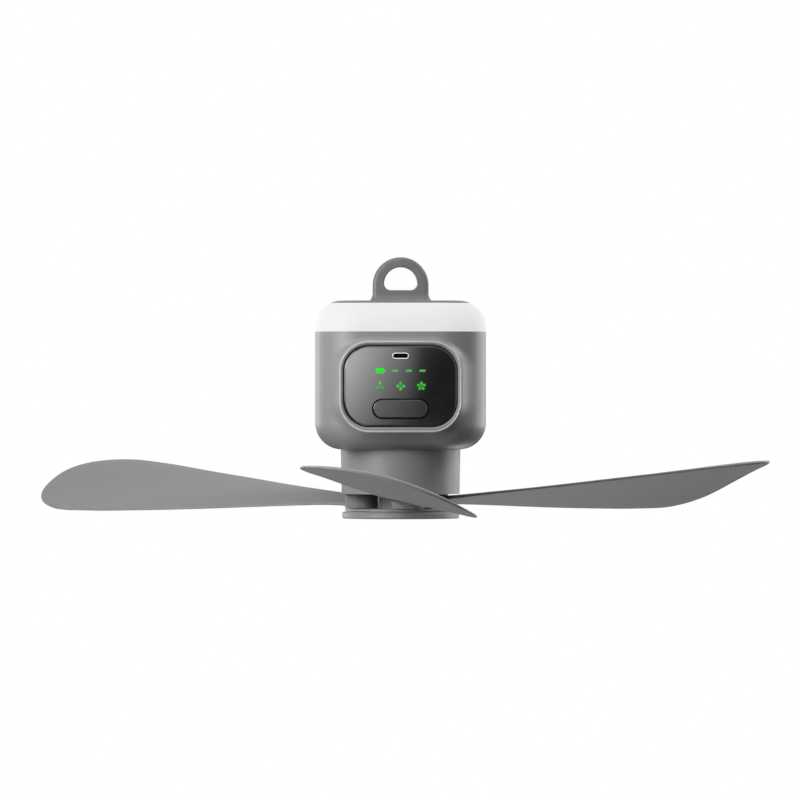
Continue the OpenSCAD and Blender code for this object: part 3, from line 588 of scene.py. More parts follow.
@dataclass(frozen=True)
class CircuitBoard(Finish):
    """Solder mask over copper tracks that run square to one another."""

    pitch: float = 2.4 * MM
    row_w: float = 6.4865 * MM

    def shader(self, graph: Graph) -> Signal:
        """Builds the mask with its tracks a little lighter, and boldest in one row.

        Args:
            graph: The material's graph.

        Returns:
            The board's shader.
        """
        faint = abs(graph.axes()[1] / self.row_w - 0.5).above(0.1, 0.3)
        cells = graph.node(
            "ShaderNodeTexVoronoi",
            {"distance": "CHEBYCHEV", "feature": "F1"},
            {"Vector": graph.place(), "Scale": 1.0 / self.pitch, "Randomness": 0.7},
        )
        tracks = cells.above(0.38, 0.46) * (1 - faint * 0.4)
        return graph.principled({
            "Base Color": self.tone(graph, tracks, 0.25),
            "Roughness": self.roughness + tracks * 0.1,
            "Normal": graph.bump(tracks, 0.03 * MM, 0.6),
        })


@dataclass(frozen=True)
class CopperWinding(Finish):
    """Enamelled copper wire laid side by side."""

    wire: float = 0.6 * MM

    def shader(self, graph: Graph) -> Signal:
        """Builds the wires as fine bands round each tooth.

        Args:
            graph: The material's graph.

        Returns:
            The winding's shader.
        """
        wires = graph.node(
            "ShaderNodeTexWave",
            {"bands_direction": "Z"},
            {"Vector": graph.place(), "Scale": 0.3 / self.wire, "Distortion": 0.4},
        )
        return graph.principled({
            "Base Color": self.tone(graph, wires, 0.2),
            "Roughness": self.roughness + wires * 0.1,
            "Normal": graph.bump(wires, 0.2 * MM, 0.8),
            "Metallic": 0.85,
            "Coat Weight": 0.5,
        })


@dataclass(frozen=True)
class CellWrap(Finish):
    """Shrink-wrapped battery cells with bare metal at both ends."""

    wrap_end: float = 31.4 * MM
    metal: Colour = (0.8, 0.8, 0.82)

    def shader(self, graph: Graph) -> Signal:
        """Builds the wrap along the middle and metal past its ends.

        Args:
            graph: The material's graph.

        Returns:
            The cells' shader.
        """
        bare = abs(graph.axes()[0]).above(self.wrap_end - EDGE, self.wrap_end + EDGE)
        crease = graph.noise(1.5 * MM, 2.0, Vector((8, 1, 1)))
        return graph.principled({
            "Base Color": graph.blend(bare, self.tone(graph, crease, 0.06), linear(self.metal)),
            "Roughness": self.roughness + crease * 0.08,
            "Metallic": bare,
        })


class Finishes(Enum):
    """The fan's finishes, most of them named as the record's material slots are."""

    CASE_GREY = MouldedPlastic("case_grey", (0.47, 0.47, 0.475), 0.42)
    RIM_GREY = CrestedPlastic("rim_grey", (0.47, 0.47, 0.475), 0.42)
    CAP_GREY = MouldedPlastic("cap_grey", (0.38, 0.38, 0.385), 0.46)
    BLADE_GREY = MouldedPlastic("blade_grey", (0.475, 0.475, 0.485), 0.55, 0.22 * MM, specular=0.2)
    LAMP_WHITE = OpalPlastic("lamp_white", (0.44, 0.44, 0.44), 0.62, 0.62, 0.15)
    INNER_WHITE = OpalPlastic("inner_white", (0.92, 0.92, 0.92), 0.4)
    PANEL_BLACK = GlossPlastic("panel_black", (0.085, 0.085, 0.09), 0.06)
    BUTTON_BLACK = GlossPlastic(
        "button_black", (0.1, 0.1, 0.1), 0.09, from_cover(BUTTON_MIDDLE), 900 * MM, specular=0.58
    )
    CHARGE_GREEN = ChargeRow("charge_green", (0.02, 0.93, 0.05), 0.4)
    SPEED_GREEN = LitMark("speed_green", (0.02, 0.68, 0.1), 0.4, (0.42, 0.88, 0.46), 1.05)
    BOARD_GREEN = CircuitBoard("board_green", (0.1, 0.36, 0.2), 0.42)
    BOARD_WHITE = CircuitBoard("board_white", (0.9, 0.9, 0.88), 0.5)
    LED_YELLOW = OpalPlastic("led_yellow", (0.95, 0.86, 0.45), 0.35)
    PORT_STEEL = MouthMetal("port_steel", (0.86, 0.86, 0.87), 0.2)
    SWITCH_BLACK = MouldedPlastic("switch_black", (0.09, 0.09, 0.1), 0.45)
    TONGUE_BLACK = MouldedPlastic("tongue_black", (0.03, 0.03, 0.03), 0.65, specular=0.1)
    SCREW_STEEL = BareMetal("screw_steel", (0.66, 0.66, 0.68), 0.25)
    CELL_BLUE = CellWrap("cell_blue", (0.2, 0.46, 0.62), 0.32)
    TAB_NICKEL = BareMetal("tab_nickel", (0.78, 0.77, 0.74), 0.3)
    MOTOR_ALLOY = BareMetal("motor_alloy", (0.7, 0.71, 0.72), 0.38)
    STATOR_STEEL = BareMetal("stator_steel", (0.5, 0.5, 0.52), 0.42, Vector((12, 12, 1)))
    COIL_COPPER = CopperWinding("coil_copper", (0.78, 0.42, 0.22), 0.28)
    CAN_STEEL = BareMetal("can_steel", (0.6, 0.6, 0.63), 0.28, Vector((12, 12, 1)))
    MAGNET_GREY = BareMetal("magnet_grey", (0.42, 0.42, 0.45), 0.45)
    SHAFT_STEEL = BareMetal("shaft_steel", (0.72, 0.72, 0.74), 0.18)

    def dress(self, *pieces: Piece) -> None:
        """Gives pieces this finish in every one of their material slots.

        Args:
            pieces: The pieces to dress.
        """
        for piece in pieces:
            if not piece.material_slots:
                piece.data.materials.append(self.value.material())
            for slot in piece.material_slots:
                slot.material = self.value.material()

    @property
    def slot(self) -> str:
        """The record's name for this finish."""
        return self.value.name


# ---- Workshop: operators as a modeller uses them ----


class Workshop:
    """The few modelling moves that the pieces share, all by Blender's own operators."""

    @staticmethod
    def put_down_all() -> None:
        """Deselects everything and leaves edit mode."""
        if bpy.context.object and bpy.context.object.mode != "OBJECT":
            bpy.ops.object.mode_set(mode="OBJECT")
        bpy.ops.object.select_all(action="DESELECT")

    @classmethod
    def pick(cls, piece: Piece) -> None:
        """Selects one piece alone and makes it active.

        Args:
            piece: The piece to select.
        """
        cls.put_down_all()
        piece.select_set(True)
        bpy.context.view_layer.objects.active = piece

    @classmethod
    def primitive(cls, name: str, add: Callable[..., object], **sizes: object) -> Piece:
        """Adds a primitive and names it.

        Args:
            name: The new piece's name.
            add: The operator that adds it.
            sizes: The operator's settings.

        Returns:
            The new object, selected and active.
        """
        cls.put_down_all()
        add(**sizes)
        made = bpy.context.object
        made.name = made.data.name = name
        bpy.ops.object.transform_apply(location=True, rotation=True, scale=True)
        return made

    @classmethod
    def loft(cls, name: str, rings: Sequence[Ring], close_ends: bool = True) -> Piece:
        """Wraps a grid round rings of points, as a skin drawn over formers.

        Args:
            name: The new piece's name.
            rings: Closed rings with the same number of points each.
            close_ends: Whether the first and last ring are filled in.

        Returns:
            The closed skin, with its faces pointing outwards.
        """
        around = len(rings[0])
        made = cls.primitive(
            name,
            bpy.ops.mesh.primitive_grid_add,
            x_subdivisions=len(rings) - 1,
            y_subdivisions=around,
            size=2,
        )
        for vertex in made.data.vertices:
            i = round((vertex.co.x + 1) / 2 * (len(rings) - 1))
            j = round((vertex.co.y + 1) / 2 * around) % around
            vertex.co = rings[i][j]
        bpy.ops.object.mode_set(mode="EDIT")
        bpy.ops.mesh.select_all(action="SELECT")
        bpy.ops.mesh.remove_doubles(threshold=1e-7)
        if close_ends:
            bpy.ops.mesh.fill_holes(sides=0)
        bpy.ops.mesh.select_all(action="SELECT")
        bpy.ops.mesh.normals_make_consistent(inside=False)
        bpy.ops.object.mode_set(mode="OBJECT")
        return made

    @classmethod
    def combine(cls, piece: Piece, other: Piece, operation: str) -> None:
        """Adds or cuts another solid, which is used up.

        Args:
            piece: The solid that is kept and changed.
            other: The solid that is added or cut away.
            operation: UNION or DIFFERENCE.
        """
        cls.pick(piece)
        change = piece.modifiers.new("combine", "BOOLEAN")
        change.object = other
        change.operation = operation
        change.solver = "EXACT"
        bpy.ops.object.modifier_apply(modifier=change.name)
        bpy.data.objects.remove(other, do_unlink=True)

    @classmethod
    def soften(cls, piece: Piece, width: float, angle: float) -> None:
        """Rounds the piece's sharp edges.

        Args:
            piece: The piece whose edges are rounded.
            width: How wide the rounding is.
            angle: In degrees, how sharp an edge has to be.
        """
        cls.pick(piece)
        change = piece.modifiers.new("soften", "BEVEL")
        change.width = width
        change.segments = 3
        change.limit_method = "ANGLE"
        change.angle_limit = radians(angle)
        bpy.ops.object.modifier_apply(modifier=change.name)

    @classmethod
    def smooth(cls, piece: Piece, angle: float) -> None:
        """Shades the piece smooth across its flatter edges.

        Args:
            piece: The piece to shade.
            angle: In degrees, up to which an edge counts as flat.
        """
        cls.pick(piece)
        bpy.ops.object.shade_smooth_by_angle(angle=radians(angle))
        cls.put_down_all()

    @classmethod
    def barrel(cls, name: str, centre: Vector, radius: float, height: float, edge: float) -> Piece:
        """Adds an upright round barrel with rounded rims.

        Args:
            name: The new piece's name.
            centre: The middle of its underside.
            radius: Its radius.
            height: Its height.
            edge: The rounding of its rims.

        Returns:
            The solid barrel.
        """
        made = cls.primitive(
            name,
            bpy.ops.mesh.primitive_cylinder_add,
            vertices=ROUND_STEPS,
            radius=radius,
            depth=height,
            location=centre + Vector((0, 0, height / 2)),
        )
        if edge > 0:
            cls.soften(made, edge, angle=60)
        return made


# ---- Blades ----


@dataclass
class Blade:
    """One thin, twisted, cambered blade with the barrel that turns on its pivot pin.

    The outline is given as shares of the reach and of the width on each side of the
    middle line, and the middle surface by its slopes, in millimetres. The dome raises
    each rib's middle over its ends by a share of its half width. Over the first shares
    of the length, the root's extra thickness fades out and the dome comes in.
    """

    number: int
    azimuth: float
    reach: float = 224.0
    lead_w: float = 41.0
    trail_w: float = 50.0
    thickness: float = 1.4
    root_extra: float = 0.8
    root_share: float = 0.25
    pitch: float = 0.2177
    twist: float = 0.086
    rise: float = 0.029
    curl: float = 6.7
    root_bow: float = 1.25
    tip_bow: float = 4.5
    dome: float = 0.05
    dome_share: float = 0.2
    middle_h: float = 4.5
    edge_round: float = 0.75
    edge_steps: int = 4
    pivot_ring: float = 22.7
    pivot_lead: float = 11.5
    pin_bore: float = 2.05
    bore_over: float = 1.0
    barrel_r: float = 9.4
    barrel_h: float = 7.6
    barrel_round: float = 0.35
    base_h: float = 5.6
    ribs: int = 96
    rib_crowding: float = 1.5
    last_rib: float = 0.9985
    rib_steps: int = 14
    lead_shape: tuple = (
        (0.094, 0.29), (0.174, 0.29), (0.247, 0.38), (0.37, 0.56), (0.518, 0.755),
        (0.667, 0.905), (0.795, 1), (0.902, 1), (0.976, 0.69),
    )
    trail_shape: tuple = (
        (0.986, 0.58), (0.922, 0.995), (0.814, 0.975), (0.667, 0.785), (0.518, 0.61),
        (0.37, 0.425), (0.247, 0.285), (0.174, 0.19), (0.094, 0.09),
    )

    def outline(self) -> list[Pair]:
        """Sets out the outline, along the leading edge and back.

        Returns:
            The points along and across the blade, in millimetres.
        """
        lead = [(u * self.reach, v * self.lead_w) for u, v in self.lead_shape]
        trail = [(u * self.reach, -v * self.trail_w) for u, v in self.trail_shape]
        return [*lead, (self.reach, 0.0), *trail]

    @staticmethod
    def curve_at(points: Sequence[Pair], place: float) -> Pair:
        """Returns a point of the smooth curve, a Catmull-Rom spline, through a list of points.

        Args:
            points: The points that the curve passes through.
            place: Where on the curve, by position along the list.

        Returns:
            The curve's point.
        """
        last = len(points) - 1
        i = min(int(place), last - 1)
        f = place - i
        near = (points[max(i - 1, 0)], points[i], points[i + 1], points[min(i + 2, last)])
        return tuple(
            0.5
            * (
                2 * b
                + (c - a) * f
                + (2 * a - 5 * b + 4 * c - d) * f * f
                + (3 * b - a - 3 * c + d) * f**3
            )
            for a, b, c, d in zip(*near)
        )

    def along(self, u: float) -> float:
        """Returns a distance from the rotor's axis as a share, from the pivots to the tip."""
        return (u - self.pivot_ring) / (self.reach - self.pivot_ring)

    def surface(self, u: float, v: float) -> float:
        """Works out the height of the middle surface.

        Args:
            u: How far along the blade, from the rotor's axis.
            v: How far across it, towards the leading edge.

        Returns:
            The height above the barrel's underside.
        """
        s = self.along(u)
        return (
            self.middle_h
            + self.rise * (u - self.pivot_ring)
            + self.curl * s * s
            - (self.pitch + self.twist * s) * v
            - (self.root_bow + self.tip_bow * s) * (v / self.trail_w) ** 2
        )

    def half_thickness(self, u: float) -> float:
        """Returns half of the blade's thickness at a distance from the rotor's axis."""
        root = max(0.0, 1 - self.along(u) / self.root_share)
        return self.thickness / 2 + self.root_extra / 2 * root**2

    def turned(self, x: float, y: float, z: float) -> Vector:
        """Turns a point of the blade's own frame into the model's frame.

        Args:
            x: How far along the blade, in millimetres.
            y: How far across it, towards the leading edge.
            z: How high above the barrel's underside.

        Returns:
            The point, in metres.
        """
        a = radians(self.azimuth)
        return Vector((
            (x * cos(a) - y * sin(a)) * MM,
            (x * sin(a) + y * cos(a)) * MM,
            from_cover(self.base_h + z),
        ))

    def rib(self, share: float) -> Ring:
        """Returns the closed ring of one rib, with its edges rounded.

        Args:
            share: Where along the blade, from 0 at the root to 1 at the tip.

        Returns:
            The ring, over the top from the leading edge and back underneath.
        """
        points = self.outline()
        tip = len(self.lead_shape)
        place = tip * share
        lead, trail = self.curve_at(points, place), self.curve_at(points, 2 * tip - place)
        width = dist(lead, trail)
        edge = min(self.edge_round, width / 2)
        turns = [radians(90 * k / self.edge_steps) for k in range(self.edge_steps + 1)]
        arc = [edge * (1 - cos(turn)) for turn in turns]
        middle = [edge + (width - 2 * edge) * k / self.rib_steps for k in range(1, self.rib_steps)]
        across = [*arc, *middle, *[width - d for d in reversed(arc)]]
        narrow = 3 * self.edge_round
        tip_round = min(1.0, width / narrow)
        ring = []
        for side, places in ((1, across), (-1, across[-2:0:-1])):
            for d in places:
                near = min(d, width - d) / edge
                full = sqrt(max(0.0, 1 - (1 - min(near, 1.0)) ** 2)) * tip_round
                x = lead[0] + (trail[0] - lead[0]) * d / width
                y = lead[1] + (trail[1] - lead[1]) * d / width
                crown = self.dome * min(1.0, share / self.dome_share) * 2 * d * (1 - d / width)
                z = self.surface(x, y) + crown + side * full * self.half_thickness(x)
                ring.append(self.turned(x, y, z))
        return ring

    def build(self) -> Piece:
        """Models the blade with its barrel and bore, and dresses it.

        Returns:
            The blade.
        """
        left = [(1 - i / self.ribs) ** self.rib_crowding for i in range(self.ribs + 1)]
        ribs = [self.rib((1 - share) * self.last_rib) for share in left]
        piece = Workshop.loft(f"moulded_blade_{self.number}", ribs)
        lead = radians(self.pivot_lead)
        centre = self.turned(self.pivot_ring * cos(lead), self.pivot_ring * sin(lead), 0)
        barrel = Workshop.barrel(
            "barrel", centre, self.barrel_r * MM, self.barrel_h * MM, self.barrel_round * MM
        )
        Workshop.combine(piece, barrel, "UNION")
        start = centre - Vector((0, 0, self.bore_over * MM))
        depth = (self.barrel_h + 2 * self.bore_over) * MM
        bore = Workshop.barrel("bore", start, self.pin_bore * MM, depth, 0)
        Workshop.combine(piece, bore, "DIFFERENCE")
        Workshop.smooth(piece, angle=40)
        Finishes.BLADE_GREY.dress(piece)
        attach(piece, f"blade_{self.number}")
        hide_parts(f"blade_{self.number}")
        return piece


# ---- Rim of the panel ----


@dataclass
class SoftRim:
    """The housing's rim round the panel, drawn over the solid one as one soft skin.

    The solid rim is a round crest with a straight slope that meets the front at a crease.
    The skin lies a hair over both, and fills the crease so that the slope runs out into
    the front in a soft hollow. Sizes are in millimetres. Heights are in front of the
    case's flat front, and distances are out from the line of the crest. A name with low
    in it is a size at the rim's bottom, and end_more is how much further the hollow goes
    at the sides and the top.
    """

    half_w: float = CREST_HALF[0]
    half_l: float = CREST_HALF[1]
    corner: float = CREST_CORNER
    middle_h: float = PANEL_MIDDLE
    proud: float = 1.3
    lip: float = 1.0
    slope: float = 60.0
    crest_out: float = CREST_OUT[0]
    crest_out_low: float = CREST_OUT[1]
    bead_h: float = 0.32
    bead_w: float = 0.38
    hollow: float = 3.2
    hollow_low: float = 5.0
    end_low: float = 7.8
    end_more: float = 8.0
    end_fade: float = 2.6
    cover: float = 0.03
    feather: float = 2.2
    dive: float = 0.1
    step: float = 0.02
    skin_t: float = 0.6
    back_in: float = 0.8
    case_half: float = 47.0
    case_corner: float = 25.0
    case_edge: float = 14.6
    case_low: float = 38.3
    arc_steps: int = 44
    side_steps: int = 20
    slope_rings: int = 26
    slope_crowding: float = 1.4
    lip_rings: int = 8
    ends: list[float] = field(init=False, default_factory=list)

    def line(self) -> list[tuple[Vector, Vector]]:
        """Sets out points all round the line of the crest.

        Returns:
            Each point with its outward direction, in millimetres.
        """
        x, z = self.half_w - self.corner, self.half_l - self.corner
        centres = ((x, z), (-x, z), (-x, -z), (x, -z))
        sides = ((-2 * x, 0), (0, -2 * z), (2 * x, 0), (0, 2 * z))
        points = []
        for quarter, (centre, side) in enumerate(zip(centres, sides)):
            for i in range(self.arc_steps + 1):
                a = radians(90 * (quarter + i / self.arc_steps))
                away = Vector((cos(a), sin(a)))
                points.append((Vector(centre) + self.corner * away, away))
            start = points[-1][0]
            for i in range(1, self.side_steps):
                points.append((start + Vector(side) * i / self.side_steps, away))
        return points

    def case_height(self, x: float, z: float) -> float:
        """Works out the case's own front, which falls away at its edges.

        Args:
            x: How far to the right of the panel's middle.
            z: How far above it.

        Returns:
            The height, which is 0 where the front is flat.
        """
        low = min(max(0.0, self.case_edge - (z + self.middle_h - self.case_low)), self.case_edge)
        reach = self.case_corner - self.case_edge + sqrt(self.case_edge**2 - low**2)
        side = max(0.0, abs(x) - (self.case_half - self.case_corner))
        return sqrt(max(0.0, reach**2 - side**2)) - self.case_corner

    def rim_height(self, out: float, flat: float) -> float:
        """Returns the height of the crest and its slope.

        Args:
            out: The distance out from the line of the crest.
            flat: How far the top of the crest is widened.

        Returns:
            The height.
        """
        past, angle = max(0.0, out - flat), radians(self.slope)
        turn = self.lip * sin(angle)
        if past < turn:
            return self.proud - self.lip + sqrt(self.lip**2 - past**2)
        start = self.proud - self.lip + self.lip * cos(angle)
        return start - (past - turn) * tan(angle)

    def skin_height(self, at: Vector, away: Vector, out: float) -> tuple[float, bool]:
        """Returns the height of the skin, and whether it has reached the bare case.

        Args:
            at: The point on the line of the crest.
            away: The outward direction there.
            out: The distance out from it.

        Returns:
            The height without the cover, and whether the hollow has run out.
        """
        low = max(0.0, -away.y) ** 2
        crest = self.crest_out + low * (self.crest_out_low - self.crest_out)
        hollow = self.hollow + low * (self.hollow_low - self.hollow)
        place = at + away * out
        case, rim = self.case_height(place.x, place.y), self.rim_height(out, crest)
        fade = (self.end_low + self.end_more * (1 - low) - out) / self.end_fade
        share = max(0.0, hollow - abs(rim - case)) / hollow * min(1.0, max(0.0, fade))
        bead = self.bead_h * exp(-(((out - crest) / self.bead_w) ** 2))
        height = max(case, rim) + share * share * hollow / 4 + bead
        return height, rim < case and share == 0.0

    def run_out(self, at: Vector, away: Vector) -> float:
        """Finds the skin's outer edge, feathered into the case.

        Args:
            at: The point on the line of the crest.
            away: The outward direction there.

        Returns:
            The distance out from the line of the crest.
        """
        out = self.lip
        while not self.skin_height(at, away, out)[1]:
            out += self.step
        return out + self.feather

    def over_lip(self, at: Vector, away: Vector, end: float, share: float) -> Pair:
        """Places a point on the lip's round.

        Args:
            at: The point on the line of the crest.
            away: The outward direction there.
            end: The skin's run-out there; not used here.
            share: From 0, its inner side, to 1, the crest.

        Returns:
            The distance out from the line of the crest, and the height.
        """
        turn, shoulder = radians(90 * share), self.proud - self.lip
        rise = self.skin_height(at, away, 0)[0] + self.cover - shoulder
        return -(self.lip + self.cover) * cos(turn), shoulder + rise * sin(turn)

    def down_slope(self, at: Vector, away: Vector, end: float, share: float) -> Pair:
        """Places a point on the slope.

        Args:
            at: The point on the line of the crest.
            away: The outward direction there.
            end: The skin's run-out there.
            share: From 0, the crest, to 1, where it has sunk in.

        Returns:
            The distance out from the line of the crest, and the height.
        """
        sunk = max(0.0, 1 - (1 - share) * end / self.feather) ** 2
        over = self.cover - sunk * (self.cover + self.dive)
        return share * end, self.skin_height(at, away, share * end)[0] + over

    def behind(self, at: Vector, away: Vector, end: float, share: float) -> Pair:
        """Places a point on the skin's back.

        Args:
            at: The point on the line of the crest.
            away: The outward direction there.
            end: The skin's run-out there.
            share: From 0, its inner edge, to 1, its outer edge.

        Returns:
            The distance out from the line of the crest, and the height.
        """
        start = -self.back_in * self.lip
        out = start + share * (end - start)
        place = at + away * out
        bare = min(self.case_height(place.x, place.y), self.rim_height(abs(out), 0.0))
        return out, bare - self.skin_t

    def ring(self, place: Placing, share: float) -> Ring:
        """Returns one closed ring round the rim.

        Args:
            place: Gives the distance out and the height for a point of the crest's line,
                its direction, its run-out and the share.
            share: Where the ring is on its stretch of the skin, from 0 to 1.

        Returns:
            The ring's points in the model's frame, in metres.
        """
        points = []
        for (at, away), end in zip(self.line(), self.ends):
            out, height = place(at, away, end, share)
            spot, front = at + away * out, self.case_half + height
            points.append(Vector((spot.x * MM, -front * MM, from_cover(self.middle_h + spot.y))))
        return points

    def build(self) -> Piece:
        """Models the rim's skin as one closed shell, and dresses it.

        Returns:
            The skin.
        """
        self.ends = [self.run_out(at, away) for at, away in self.line()]
        slope = [(i / self.slope_rings) ** self.slope_crowding for i in range(self.slope_rings + 1)]
        rings = [
            self.ring(lambda *_: (-self.lip - self.cover, -self.skin_t), 0.0),
            *(self.ring(self.over_lip, i / self.lip_rings) for i in range(self.lip_rings)),
            *(self.ring(self.down_slope, share) for share in slope),
            *(self.ring(self.behind, share) for share in (1.0, 0.5, 0.0)),
        ]
        piece = Workshop.loft("moulded_rim", [*rings, rings[0]], close_ends=False)
        Workshop.smooth(piece, angle=50)
        Finishes.RIM_GREY.dress(piece)
        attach(piece, "case")
        return piece


# ---- The nodes that keep their solid shape ----


SOLID_FINISHES: dict[Finishes, tuple[str, ...]] = {
    Finishes.CASE_GREY: (
        "main_housing", "motor_shroud", "battery_holder", "rotor_hub", "lower_plate",
        "bottom_cover",
    ),
    Finishes.CAP_GREY: ("top_cap",),
    Finishes.LAMP_WHITE: ("lamp_diffuser",),
    Finishes.INNER_WHITE: ("lamp_reflector", "indicator_leds"),
    Finishes.BOARD_WHITE: ("lamp_board",),
    Finishes.LED_YELLOW: ("lamp_leds",),
    Finishes.PANEL_BLACK: ("control_panel",),
    Finishes.BUTTON_BLACK: ("button_cap",),
    Finishes.CHARGE_GREEN: ("battery_icons",),
    Finishes.SPEED_GREEN: ("speed_icons",),
    Finishes.BOARD_GREEN: ("control_board", "main_board"),
    Finishes.PORT_STEEL: ("port_shell",),
    Finishes.TONGUE_BLACK: ("port_tongue",),
    Finishes.SWITCH_BLACK: ("tact_switch",),
    Finishes.SCREW_STEEL: ("case_screws", "board_screws", "motor_screws", "rotor_screws"),
    Finishes.CELL_BLUE: ("battery_cells",),
    Finishes.TAB_NICKEL: ("battery_tabs",),
    Finishes.MOTOR_ALLOY: ("motor_base",),
    Finishes.STATOR_STEEL: ("stator_core",),
    Finishes.COIL_COPPER: ("stator_windings",),
    Finishes.CAN_STEEL: ("motor_can",),
    Finishes.MAGNET_GREY: ("rotor_magnets",),
    Finishes.SHAFT_STEEL: ("motor_shaft", "shaft_clip", "motor_bearings", "pivot_pins"),
}


@dataclass
class SolidPieces:
    """The CAD nodes whose shape is already right, and which only need their finish."""

    nodes: dict[str, Piece]

    def dress(self) -> int:
        """Gives every node its finish.

        Returns:
            How many nodes were dressed.
        """
        for finish, names in SOLID_FINISHES.items():
            finish.dress(*(self.nodes[name] for name in names))
        return sum(len(names) for names in SOLID_FINISHES.values())


# ---- Studio ----


@dataclass(frozen=True)
class Softbox:
    """One soft lamp that is aimed at the case.

    The azimuth is in degrees from the panel's side towards +X, the elevation in degrees
    above the level, the distance and the size in metres and the power in watts.
    """

    name: str
    azimuth: float
    elevation: float
    distance: float
    size: Pair
    watts: float

    def hang(self, aim: Vector) -> None:
        """Adds the lamp, unseen by the camera.

        Args:
            aim: The point that it lights.
        """
        data = bpy.data.lights.new(self.name, "AREA")
        data.shape = "RECTANGLE"
        data.size, data.size_y = self.size
        data.energy = self.watts
        turn, tilt = radians(self.azimuth), radians(self.elevation)
        away = Vector((
            sin(turn) * cos(tilt), -cos(turn) * cos(tilt), sin(tilt)
        ))
        lamp = bpy.data.objects.new(self.name, data)
        lamp.location = aim + self.distance * away
        lamp.rotation_euler = (-away).to_track_quat("-Z", "Y").to_euler()
        lamp.visible_camera = False
        bpy.context.scene.collection.objects.link(lamp)


LAMPS = (
    Softbox("key", -48, 10, 1.0, (0.3, 0.4), 5.2),
    Softbox("key_fill", -62, 10, 1.0, (0.3, 0.4), 0.5),
    Softbox("near_left", -40, 20, 0.42, (0.16, 0.2), 1.1),
    Softbox("front_top", -15, 62, 1.0, (0.5, 0.4), 2.9),
    Softbox("overhead", 0, 88, 1.1, (1.0, 1.0), 1.6),
    Softbox("left_back", -135, 0, 1.0, (0.3, 0.6), 2.2),
    Softbox("right_edge", 110, 0, 1.0, (0.2, 0.5), 2.3),
    Softbox("right_back", 135, 0, 1.0, (0.2, 0.6), 2.1),
    Softbox("right_high", 98, 35, 1.0, (0.3, 0.4), 6.2),
    Softbox("low_front", -20, -40, 1.0, (0.5, 0.3), 1.4),
    Softbox("low_back", 170, -44, 1.0, (0.6, 0.2), 2.6),
)


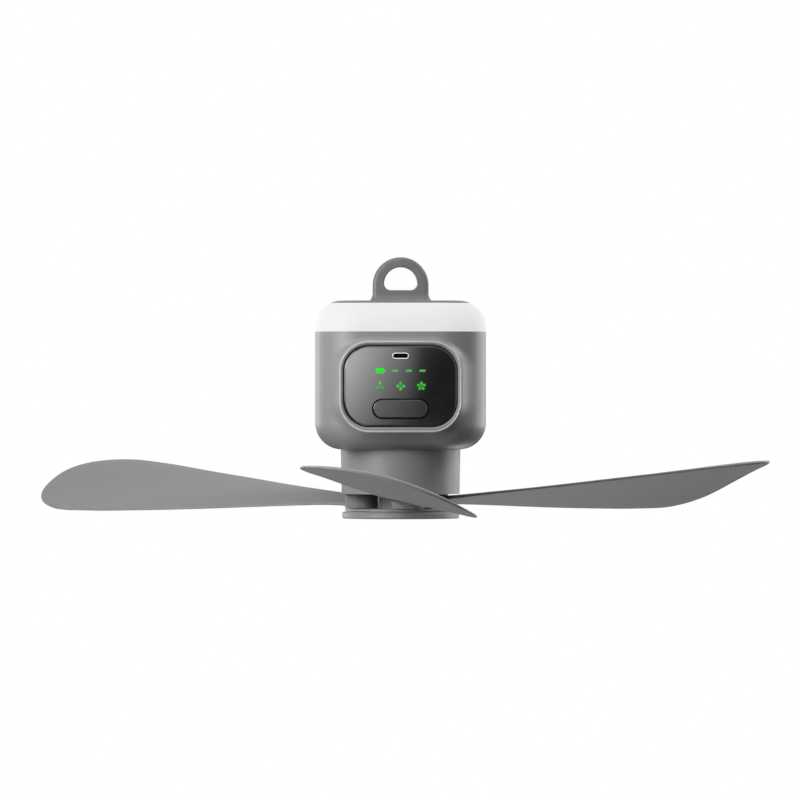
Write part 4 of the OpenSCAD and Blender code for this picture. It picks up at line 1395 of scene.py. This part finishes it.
@dataclass
class Studio:
    """Camera, floor, backdrop light, cards and lamps round the hanging fan.

    Sizes are in metres. The camera sees the floor as a dull tone with a glow over it. The
    light card's glow rises to the left from a leaning edge, over the ramp's width.
    """

    eye: Vector = field(default_factory=lambda: Vector((0.0, -4.277, -0.0652)))
    lens: float = 348.1
    shift: Pair = (-0.00075, -0.01856)
    far: float = 60.0
    aim: Vector = field(default_factory=lambda: Vector((0.0, 0.0, -0.07)))
    floor_z: float = -1.2
    floor_r: float = 7.0
    floor_tones: Pair = (0.72, 0.76)
    floor_dull: float = 0.35
    floor_glow: float = 0.8
    ambient: float = 0.01
    ramp_edge: float = 0.545
    ramp_middle: float = -0.065
    ramp_lean: float = 0.58
    ramp_w: float = 1.8

    def camera(self) -> None:
        """Sets the level camera that faces the control panel."""
        data = bpy.data.cameras.new("studio_camera")
        data.lens = self.lens
        data.shift_x, data.shift_y = self.shift
        data.clip_end = self.far
        made = bpy.data.objects.new("studio_camera", data)
        made.location = self.eye
        made.rotation_euler = (radians(90), 0, 0)
        bpy.context.scene.collection.objects.link(made)
        bpy.context.scene.camera = made

    def backdrop(self) -> None:
        """Surrounds the scene with soft light that the camera sees as plain white."""
        world = bpy.data.worlds.new("studio_backdrop")
        world.use_nodes = True
        bpy.context.scene.world = world
        graph = Graph(world.node_tree)
        soft, white = (
            graph.node("ShaderNodeBackground", {}, {"Color": WHITE, "Strength": strength})
            for strength in (self.ambient, 1.0)
        )
        path = graph.node("ShaderNodeLightPath").socket.node
        straight, mirrored, through = (
            Signal(graph, path.outputs[f"Is {kind} Ray"])
            for kind in ("Camera", "Glossy", "Transmission")
        )
        seen = (straight + mirrored + through).above(0, 1)
        mixed = graph.node("ShaderNodeMixShader", {}, {0: seen, 1: soft, 2: white})
        graph.node("ShaderNodeOutputWorld", {}, {"Surface": mixed})

    def floor(self) -> None:
        """Lays a round pale floor that keeps soft shadows, and is clear from underneath."""
        made = Workshop.primitive(
            "studio_floor",
            bpy.ops.mesh.primitive_circle_add,
            vertices=ROUND_STEPS,
            radius=self.floor_r,
            fill_type="NGON",
            location=(0, 0, self.floor_z),
        )
        material, graph = new_material("floor_white")
        colour = graph.blend(graph.noise(0.5, 2.0), *(grey(tone) for tone in self.floor_tones))
        matt = graph.node("ShaderNodeBsdfDiffuse", {}, {"Color": colour})
        dull = graph.node("ShaderNodeBsdfDiffuse", {}, {"Color": grey(self.floor_dull)})
        glow = graph.node("ShaderNodeEmission", {}, {"Color": WHITE, "Strength": self.floor_glow})
        lifted = graph.node("ShaderNodeAddShader", {}, {0: dull, 1: glow})
        seen = graph.node("ShaderNodeLightPath", out="Is Camera Ray")
        top = graph.node("ShaderNodeMixShader", {}, {0: seen, 1: matt, 2: lifted})
        clear = graph.node("ShaderNodeBsdfTransparent")
        under = graph.node("ShaderNodeNewGeometry", out="Backfacing")
        graph.surface(graph.node("ShaderNodeMixShader", {}, {0: under, 1: top, 2: clear}))
        made.data.materials.append(material)

    def card(
        self,
        name: str,
        middle: Vector,
        size: Pair,
        full: float,
        glow: Callable[[Graph], Signal],
    ) -> None:
        """Stands an upright card behind the camera, seen in reflections only.

        Args:
            name: The card's name.
            middle: Its middle.
            size: Its width and height.
            full: Its brightness where the glow is 1.
            glow: Returns the share of it that shows, in the card's graph.
        """
        made = Workshop.primitive(
            name,
            bpy.ops.mesh.primitive_plane_add,
            size=1,
            location=middle,
            rotation=(radians(90), 0, 0),
            scale=(size[0], size[1], 1),
        )
        material, graph = new_material(name)
        colour = graph.blend(glow(graph), BLACK, WHITE)
        graph.surface(graph.node("ShaderNodeEmission", {}, {"Color": colour, "Strength": full}))
        made.data.materials.append(material)
        made.visible_camera = made.visible_diffuse = made.visible_shadow = False
        made.visible_transmission = made.visible_volume_scatter = False

    def ramp(self, graph: Graph) -> Signal:
        """Raises the light card's glow from its leaning edge to its left end.

        Args:
            graph: The card's graph.

        Returns:
            The share of the card's brightness.
        """
        across, _, up = graph.axes()
        past = self.ramp_edge - across + (up - self.ramp_middle) * self.ramp_lean
        share = past.floor(0.0) / self.ramp_w
        return share * share

    def cards(self) -> None:
        """Stands a light card to the left of the camera and a black one round it."""
        self.card("light_card", Vector((-0.35, -5.0, -0.05)), (2.1, 1.8), 15.5, self.ramp)
        self.card(
            name="black_card",
            middle=Vector((0.25, -5.3, -0.05)),
            size=(4.4, 3.4),
            full=0.02,
            glow=lambda graph: graph.noise(1.0),
        )

    def set_up(self) -> None:
        """Places everything in the studio."""
        self.camera()
        self.backdrop()
        self.floor()
        self.cards()
        for lamp in LAMPS:
            lamp.hang(self.aim)
            log.info("hung the %s lamp", lamp.name)
        bpy.context.scene.view_settings.view_transform = "Standard"


# ---- The whole fan ----


def main() -> None:
    """Loads the frame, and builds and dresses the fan."""
    logging.basicConfig(level=logging.INFO, format="%(name)s: %(message)s")
    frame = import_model()
    Studio().set_up()
    count = SolidPieces(frame["nodes"]).dress()
    log.info("dressed %d solid nodes", count)
    pieces = [Blade(number, azimuth).build() for number, azimuth in enumerate(BLADE_AZIMUTHS, 1)]
    pieces.append(SoftRim().build())
    for piece in pieces:
        log.info("modelled %s, %d faces", piece.name, len(piece.data.polygons))


if __name__ == "__main__":
    main()
